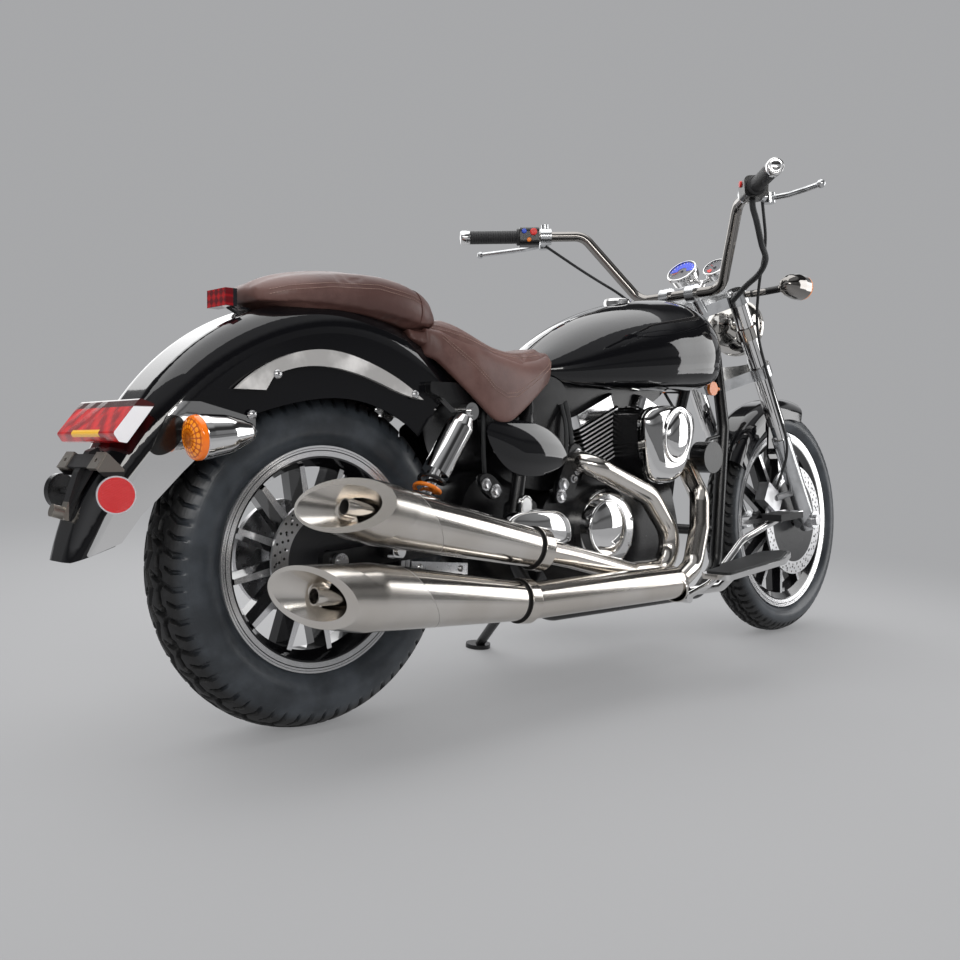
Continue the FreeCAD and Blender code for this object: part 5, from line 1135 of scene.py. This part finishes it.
def make_engine_parts():
    """Black boxes and plates that fill the frame, and the screws and hoses on them."""
    black = Shape()
    for outline, width in (
            ([(0.33, 0.61), (0.365, 0.45), (0.56, 0.40), (0.615, 0.45), (0.625, 0.60), (0.600, 0.665),
              (0.45, 0.668), (0.355, 0.64)], 0.17),
            ([(0.325, 0.47), (0.60, 0.47), (0.62, 0.30), (0.56, 0.20), (0.40, 0.19), (0.325, 0.25)], 0.11),
            ([(0.60, 0.60), (0.70, 0.555), (0.78, 0.60), (0.93, 0.60), (1.02, 0.66), (0.97, 0.70),
              (0.62, 0.69)], 0.11)):
        black.plate(at_side(smooth_outline(outline, 3), 0.0), width, 0.04)
    mount = smooth_outline([(0.590, 0.520), (0.628, 0.515), (0.625, 0.455), (0.585, 0.395), (0.540, 0.388),
                            (0.545, 0.430)], 2)
    rear = smooth_outline([(0.318, 0.452), (0.352, 0.462), (0.395, 0.425), (0.378, 0.402), (0.345, 0.412)], 2)
    bright = Shape()
    for side in (-1, 1):
        out = (0, side, 0)
        for outline in (mount, rear):
            black.plate(at_side(outline, side * 0.112), 0.012, 0.03)
        for x, z, r in ((0.609, 0.497, 0.0075), (0.608, 0.459, 0.0065), (0.595, 0.443, 0.0065),
                        (0.565, 0.4315, 0.0105), (0.5575, 0.4075, 0.011), (0.341, 0.436, 0.009),
                        (0.367, 0.423, 0.010)):
            bolt(bright, (x, side * 0.118, z), out, r, 0.009)
        for x, y, z, height in ((-0.128, 0.1068, 0.6300, 0.006), (0.170, 0.1068, 0.6065, 0.006),
                                (-0.172, 0.0985, 0.562, 0.007)):
            dome_bolt(bright, (x, side * y, z), out, 0.0085, height)
    black.build("frame_boxes", ENGINE_BLACK, "chassis")
    clear_of_clutch = 0.068
    for degrees, middle_x, middle_z, r, y, side in (
            ((-75, -30, 15, 60, 105, 150), 0.700, 0.332, 0.0745, -0.1342, -1),
            ((20, 80, 140, 200, 260, 320), 0.800, 0.335, 0.076, 0.1420, 1)):
        for a in np.radians(degrees):
            x, z = middle_x + r * math.cos(a), middle_z + r * math.sin(a)
            if side > 0 or math.hypot(x - CLUTCH[0], z - CLUTCH[2]) > clear_of_clutch:
                dome_bolt(bright, (x, y, z), (0, side, 0), 0.0048, 0.004)
    link = at_side([(0.092, 0.309), (0.092, 0.288), (0.226, 0.275), (0.226, 0.296)], -0.19)
    bright.plate(link, 0.004, 0.03)
    for x, z in ((0.110, 0.297), (0.208, 0.287)):
        dome_bolt(bright, (x, -0.192, z), (0, -1, 0), 0.006, 0.004)
    bright.build("frame_screws", STEEL, "chassis")
    hoses = Shape()
    for r, points in (
            (0.0045, [(0.590, -0.088, 0.60), (0.583, -0.108, 0.55), (0.575, -0.114, 0.49),
                      (0.560, -0.108, 0.42), (0.552, -0.092, 0.37)]),
            (0.0055, [(0.612, -0.070, 0.62), (0.602, -0.096, 0.58), (0.606, -0.104, 0.51),
                      (0.612, -0.098, 0.45)]),
            (0.0035, [(0.985, -0.060, 0.64), (1.000, -0.085, 0.58), (0.985, -0.090, 0.50),
                      (1.000, -0.075, 0.44)]),
            (0.0045, [(0.345, -0.105, 0.60), (0.330, -0.122, 0.55), (0.335, -0.118, 0.49),
                      (0.350, -0.105, 0.45)])):
        hoses.tube(curve(points), r, 10, up=(1, 0, 0))
    hoses.build("engine_hoses", RUBBER, "chassis")


def make_board_shells():
    """Bright folded footboards: a rolled rim round a shallow dished plate, with a white pad on the tab."""
    board = smooth_outline([(0.350, 0.318), (0.528, 0.308), (0.534, 0.338), (0.522, 0.366), (0.492, 0.384),
                            (0.392, 0.385), (0.355, 0.374), (0.345, 0.350)], 3)
    tab = smooth_outline([(0.396, 0.370), (0.427, 0.370), (0.427, 0.414), (0.396, 0.414)], 2)
    board_middle, tab_middle = (0.440, 0.350), (0.4115, 0.392)
    shell, pad = Shape(), Shape()
    for shape, outline, middle, steps in (
            (shell, board, board_middle, (
                (0.98, 0.1505), (1.0, 0.1560), (1.0, 0.1685), (0.985, 0.1720), (0.955, 0.1735),
                (0.92, 0.1725), (0.895, 0.1700), (0.86, 0.1692), (0.80, 0.1700), (0.60, 0.1722),
                (0.30, 0.1740), (0.05, 0.1745))),
            (shell, tab, tab_middle, (
                (1.0, 0.1515), (1.0, 0.1600), (0.97, 0.1620), (0.90, 0.1628), (0.82, 0.1620),
                (0.05, 0.1616))),
            (pad, tab, tab_middle, ((0.76, 0.1600), (0.76, 0.1628), (0.70, 0.1636), (0.05, 0.1637)))):
        for side in (-1, 1):
            rings(shape, outline, middle, [(f, side * y) for f, y in steps])
    shell.build("footboard_shells", CHROME, "chassis", sharp=60)
    pad.build("footboard_pads_white", WHITE_MARK, "chassis")


LOOM = [(0.940, -0.326, 1.052), (0.943, -0.326, 1.032), (0.957, -0.326, 1.007), (0.990, -0.318, 0.963),
        (1.049, -0.292, 0.937), (1.089, -0.250, 0.914), (1.127, -0.190, 0.8955), (1.172, -0.124, 0.872)]
ARM = [(1.2200, -0.142, 0.8870), (1.2290, -0.170, 0.8890), (1.2320, -0.190, 0.8902), (1.2320, -0.214, 0.8913)]


def make_bar_parts():
    """Chrome bar ends, the black loom down the right riser and sleeves on the signal arms."""
    ends, loom, arms = Shape(), Shape(), Shape()
    for side in (-1, 1):
        end = (GRIP_X - 0.0175, side * (GRIP_Y + 0.0169), GRIP_Z)
        ends.revolve([(-0.0235, 0.0168), (-0.0225, 0.0178), (-0.0035, 0.0178), (0.0004, 0.0165),
                      (0.0012, 0.0130), (0.0004, 0.0112), (0.0012, 0.0090), (0.0022, 0.0040),
                      (0.0023, 0.0004)], end, (-BAR_X, side * BAR_Y, 0))
        arms.tube(curve(np.array(ARM) * [1, -side, 1], 24), 0.0088, 20, up=(0, 0, 1))
    loom.tube(curve(LOOM, 80), 0.0068, 12, up=(1, 0, 0))
    ends.build("bar_end_caps", CHROME, "steering", True, sharp=60)
    loom.build("bar_loom", RUBBER, "steering")
    arms.build("signal_arm_sleeves", PLASTIC, "steering", True)


def make_clutch_dome():
    """Bright cap on the clutch cover: a rolled edge, a groove, and a crown h (1 - (r/R)^2)."""
    shape = Shape()
    shape.revolve([(0.0240, 0.0608), (0.0262, 0.0612), (0.0280, 0.0600), (0.0290, 0.0578), (0.0290, 0.0562),
                   (0.0283, 0.0552), (0.0291, 0.0530), (0.0315, 0.0480), (0.0338, 0.0400), (0.0362, 0.0280),
                   (0.0376, 0.0140), (0.0382, 0.0005)], CLUTCH, (0, -1, 0), 96)
    shape.build("clutch_cap", CHROME, "chassis", sharp=50)


def dial(shape, place, axis, radius, inner, lift, start=0.0, end=2 * math.pi):
    """Flat ring sector on a dial, from start to end round its axis."""
    thick = 0.0006
    a = unit(axis)
    u = unit(np.cross([0, 1.0, 0], a))
    v = np.cross(a, u)
    t = np.linspace(start, end, 48)[:, None]
    ray = np.cos(t) * u + np.sin(t) * v
    base = np.asarray(place, float) + a * lift
    lines = [base + ray * r + a * h for r, h in ((inner, 0), (radius, 0), (radius, thick), (inner, thick))]
    shape.grid(np.stack(lines, axis=1), cap=True)


def make_gauge_faces():
    """Dials set 4 mm into the two instruments: discs, blue and red sectors, ticks and a needle."""
    tilt = unit((-0.72, 0, 0.694))
    big, small = np.array([1.200, 0.046, 0.970]), np.array([1.209, -0.046, 0.968])
    dark, blue, marks, red = Shape(), Shape(), Shape(), Shape()
    for place, r, needle_r, a in ((big, 0.041, 0.026, 2.0), (small, 0.032, 0.019, 0.9)):
        dial(dark, place, tilt, r - 0.0042, 0.0002, -0.0039)
        for t in np.linspace(math.radians(-120), math.radians(120), 14):
            dial(marks, place, tilt, r * 0.80, r * 0.68, -0.0028, t - 0.02, t + 0.02)
        dial(red, place, tilt, needle_r, 0.0, -0.0022, a - 0.035, a + 0.035)
        dark.revolve([(-0.003, 0.004), (-0.0008, 0.004), (0.0, 0.0025)], place, tilt, 20)
    dial(blue, big, tilt, 0.0345, 0.013, -0.0032, math.radians(-95), math.radians(95))
    dial(red, small, tilt, 0.021, 0.010, -0.0030, math.radians(115), math.radians(165))
    dark.build("dial_plates", GREY_FACE, "steering", True)
    blue.build("dial_blue", BLUE_FACE, "steering", True)
    marks.build("dial_ticks", WHITE_MARK, "steering", True)
    red.build("dial_red", RED_MARK, "steering", True)


def make_switch_buttons():
    """Round and rocker buttons on the rider's side of both switch housings."""
    for name, side, finish, along, z, r in (
            ("left_blue_button", 1, BLUE_MARK, -0.014, 0.010, 0.0062),
            ("left_red_button", 1, RED_MARK, 0.010, 0.008, 0.0090),
            ("left_orange_button", 1, ORANGE, -0.002, -0.012, 0.0055),
            ("right_red_button", -1, RED_MARK, 0.004, 0.010, 0.0070)):
        inward = np.array([BAR_X, -side * BAR_Y, 0])
        back = (-BAR_Y, -side * BAR_X, 0)
        centre = np.array([GRIP_X, side * GRIP_Y, GRIP_Z]) + inward * (0.1515 + along) + [0, 0, z]
        shape = Shape().revolve([(0.020, r), (0.0285, r), (0.0300, r * 0.8), (0.0296, r * 0.4)], centre,
                                back, 24)
        shape.build(name, finish, "steering", True)


make_side_covers()
make_air_cover()
make_engine_parts()
make_clutch_dome()
make_board_shells()
make_bar_parts()
make_gauge_faces()
make_switch_buttons()


def make_seat_flaps():
    """Leather skirts over both edges of the rider's seat: a rounded section drawn along the lower outline."""
    low = curve([(0.205, 0.092, 0.682), (0.224, 0.112, 0.671), (0.256, 0.122, 0.6435), (0.290, 0.138, 0.608),
                 (0.320, 0.143, 0.581), (0.345, 0.144, 0.563), (0.370, 0.144, 0.557), (0.397, 0.143, 0.563),
                 (0.440, 0.139, 0.590), (0.490, 0.129, 0.623), (0.535, 0.104, 0.644), (0.562, 0.082, 0.672),
                 (0.585, 0.058, 0.690)], 90)
    x, y, z = low.T
    top = np.interp(x, [0.19, 0.23, 0.30, 0.36, 0.43, 0.50, 0.56, 0.60],
                    [0.735, 0.733, 0.716, 0.694, 0.681, 0.690, 0.704, 0.698])
    wide = np.interp(x, [0.172, 0.23, 0.30, 0.36, 0.43, 0.50, 0.56, 0.606],
                     [0.088, 0.106, 0.122, 0.128, 0.124, 0.104, 0.072, 0.036])
    mid = 0.5 * (top + z)
    belly = np.maximum(y, wide) + 0.003
    spots = [(wide - 0.006, top), (wide + 0.45 * (belly - wide), top * 0.72 + mid * 0.28),
             (belly, mid), (y + 0.0015, z * 0.72 + mid * 0.28), (y - 0.001, z + 0.002), (y - 0.012, z),
             (y - 0.022, z + 0.012), (wide - 0.026, mid), (wide - 0.022, top - 0.008)]
    flaps = []
    for side, name in ((-1, "seat_flap_right"), (1, "seat_flap_left")):
        pts = np.stack([np.stack([x, side * a, b], axis=1) for a, b in spots], axis=1)
        shape = Shape().grid(np.stack([smooth_outline(line, 2) for line in pts]), cap=True)
        piece = shape.build(name, LEATHER, "chassis", sharp=80)
        flaps.append(piece)
    return flaps


def make_seams():
    """Two rows of stitches along both sides of each cushion, where level rays meet the leather."""
    threads = Shape()
    flap_seam = ((0.232, 0.7150), (0.256, 0.6950), (0.300, 0.6560), (0.340, 0.6200), (0.370, 0.6070),
                 (0.400, 0.6090), (0.440, 0.6300), (0.490, 0.6560), (0.540, 0.6740), (0.560, 0.6900))
    rider_seam = ((0.200, 0.7400), (0.240, 0.7300), (0.300, 0.7140), (0.360, 0.6960), (0.420, 0.6880),
                  (0.480, 0.6940), (0.530, 0.7020))
    pillion_seam = ((-0.120, 0.7680), (-0.090, 0.7760), (-0.010, 0.7880), (0.090, 0.7930), (0.170, 0.7810),
                    (0.215, 0.7650))
    count = 160
    for cushion, stations in ((flaps[0], flap_seam), (flaps[1], flap_seam), (rider, rider_seam),
                              (pillion, pillion_seam)):
        tree = seat_surface(cushion)
        station_x, station_z = np.array(stations).T
        x = np.linspace(station_x[0], station_x[-1], count)
        z = np.interp(x, station_x, station_z)
        for side in (-1, 1):
            for shift in (0.0, 0.0075):
                points = np.stack([x, np.full(count, side * 0.30), z + shift], axis=1)
                stitch_line(threads, tree, points, np.tile([0, -side, 0.0], (count, 1)))
    threads.build("seat_stitching", THREAD, "chassis", placed=True)

def make_strap():
    """Band over the pillion: rays towards its middle line find the leather, and it stands 3 mm off it."""
    tree = seat_surface(pillion)
    shape = Shape()
    across = np.array([(-0.017, -0.001), (-0.017, 0.0016), (-0.012, 0.0026), (0.0, 0.0030), (0.012, 0.0026),
                       (0.017, 0.0016), (0.017, -0.001), (0.0, -0.002)])
    lines = []
    for a in np.radians(np.linspace(-98, 98, 60)):
        out = np.array([0, math.sin(a), math.cos(a)])
        line = []
        for dx, lift in across:
            centre = np.array([0.206 + dx, 0, 0.755])
            hit = tree.ray_cast(Vector(row(centre + out * 0.3)), Vector(-(TURN @ out)))[0]
            if hit is None:
                break
            line.append(np.array(hit) + (TURN @ out) * lift)
        if len(line) == len(across):
            lines.append(np.stack(line))
    shape.grid(np.stack(lines), cap=True)
    piece = shape.build("pillion_strap", LEATHER, "chassis", placed=True)


flaps = make_seat_flaps()
make_seams()
make_strap()


# End

def finish():
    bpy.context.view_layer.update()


finish()
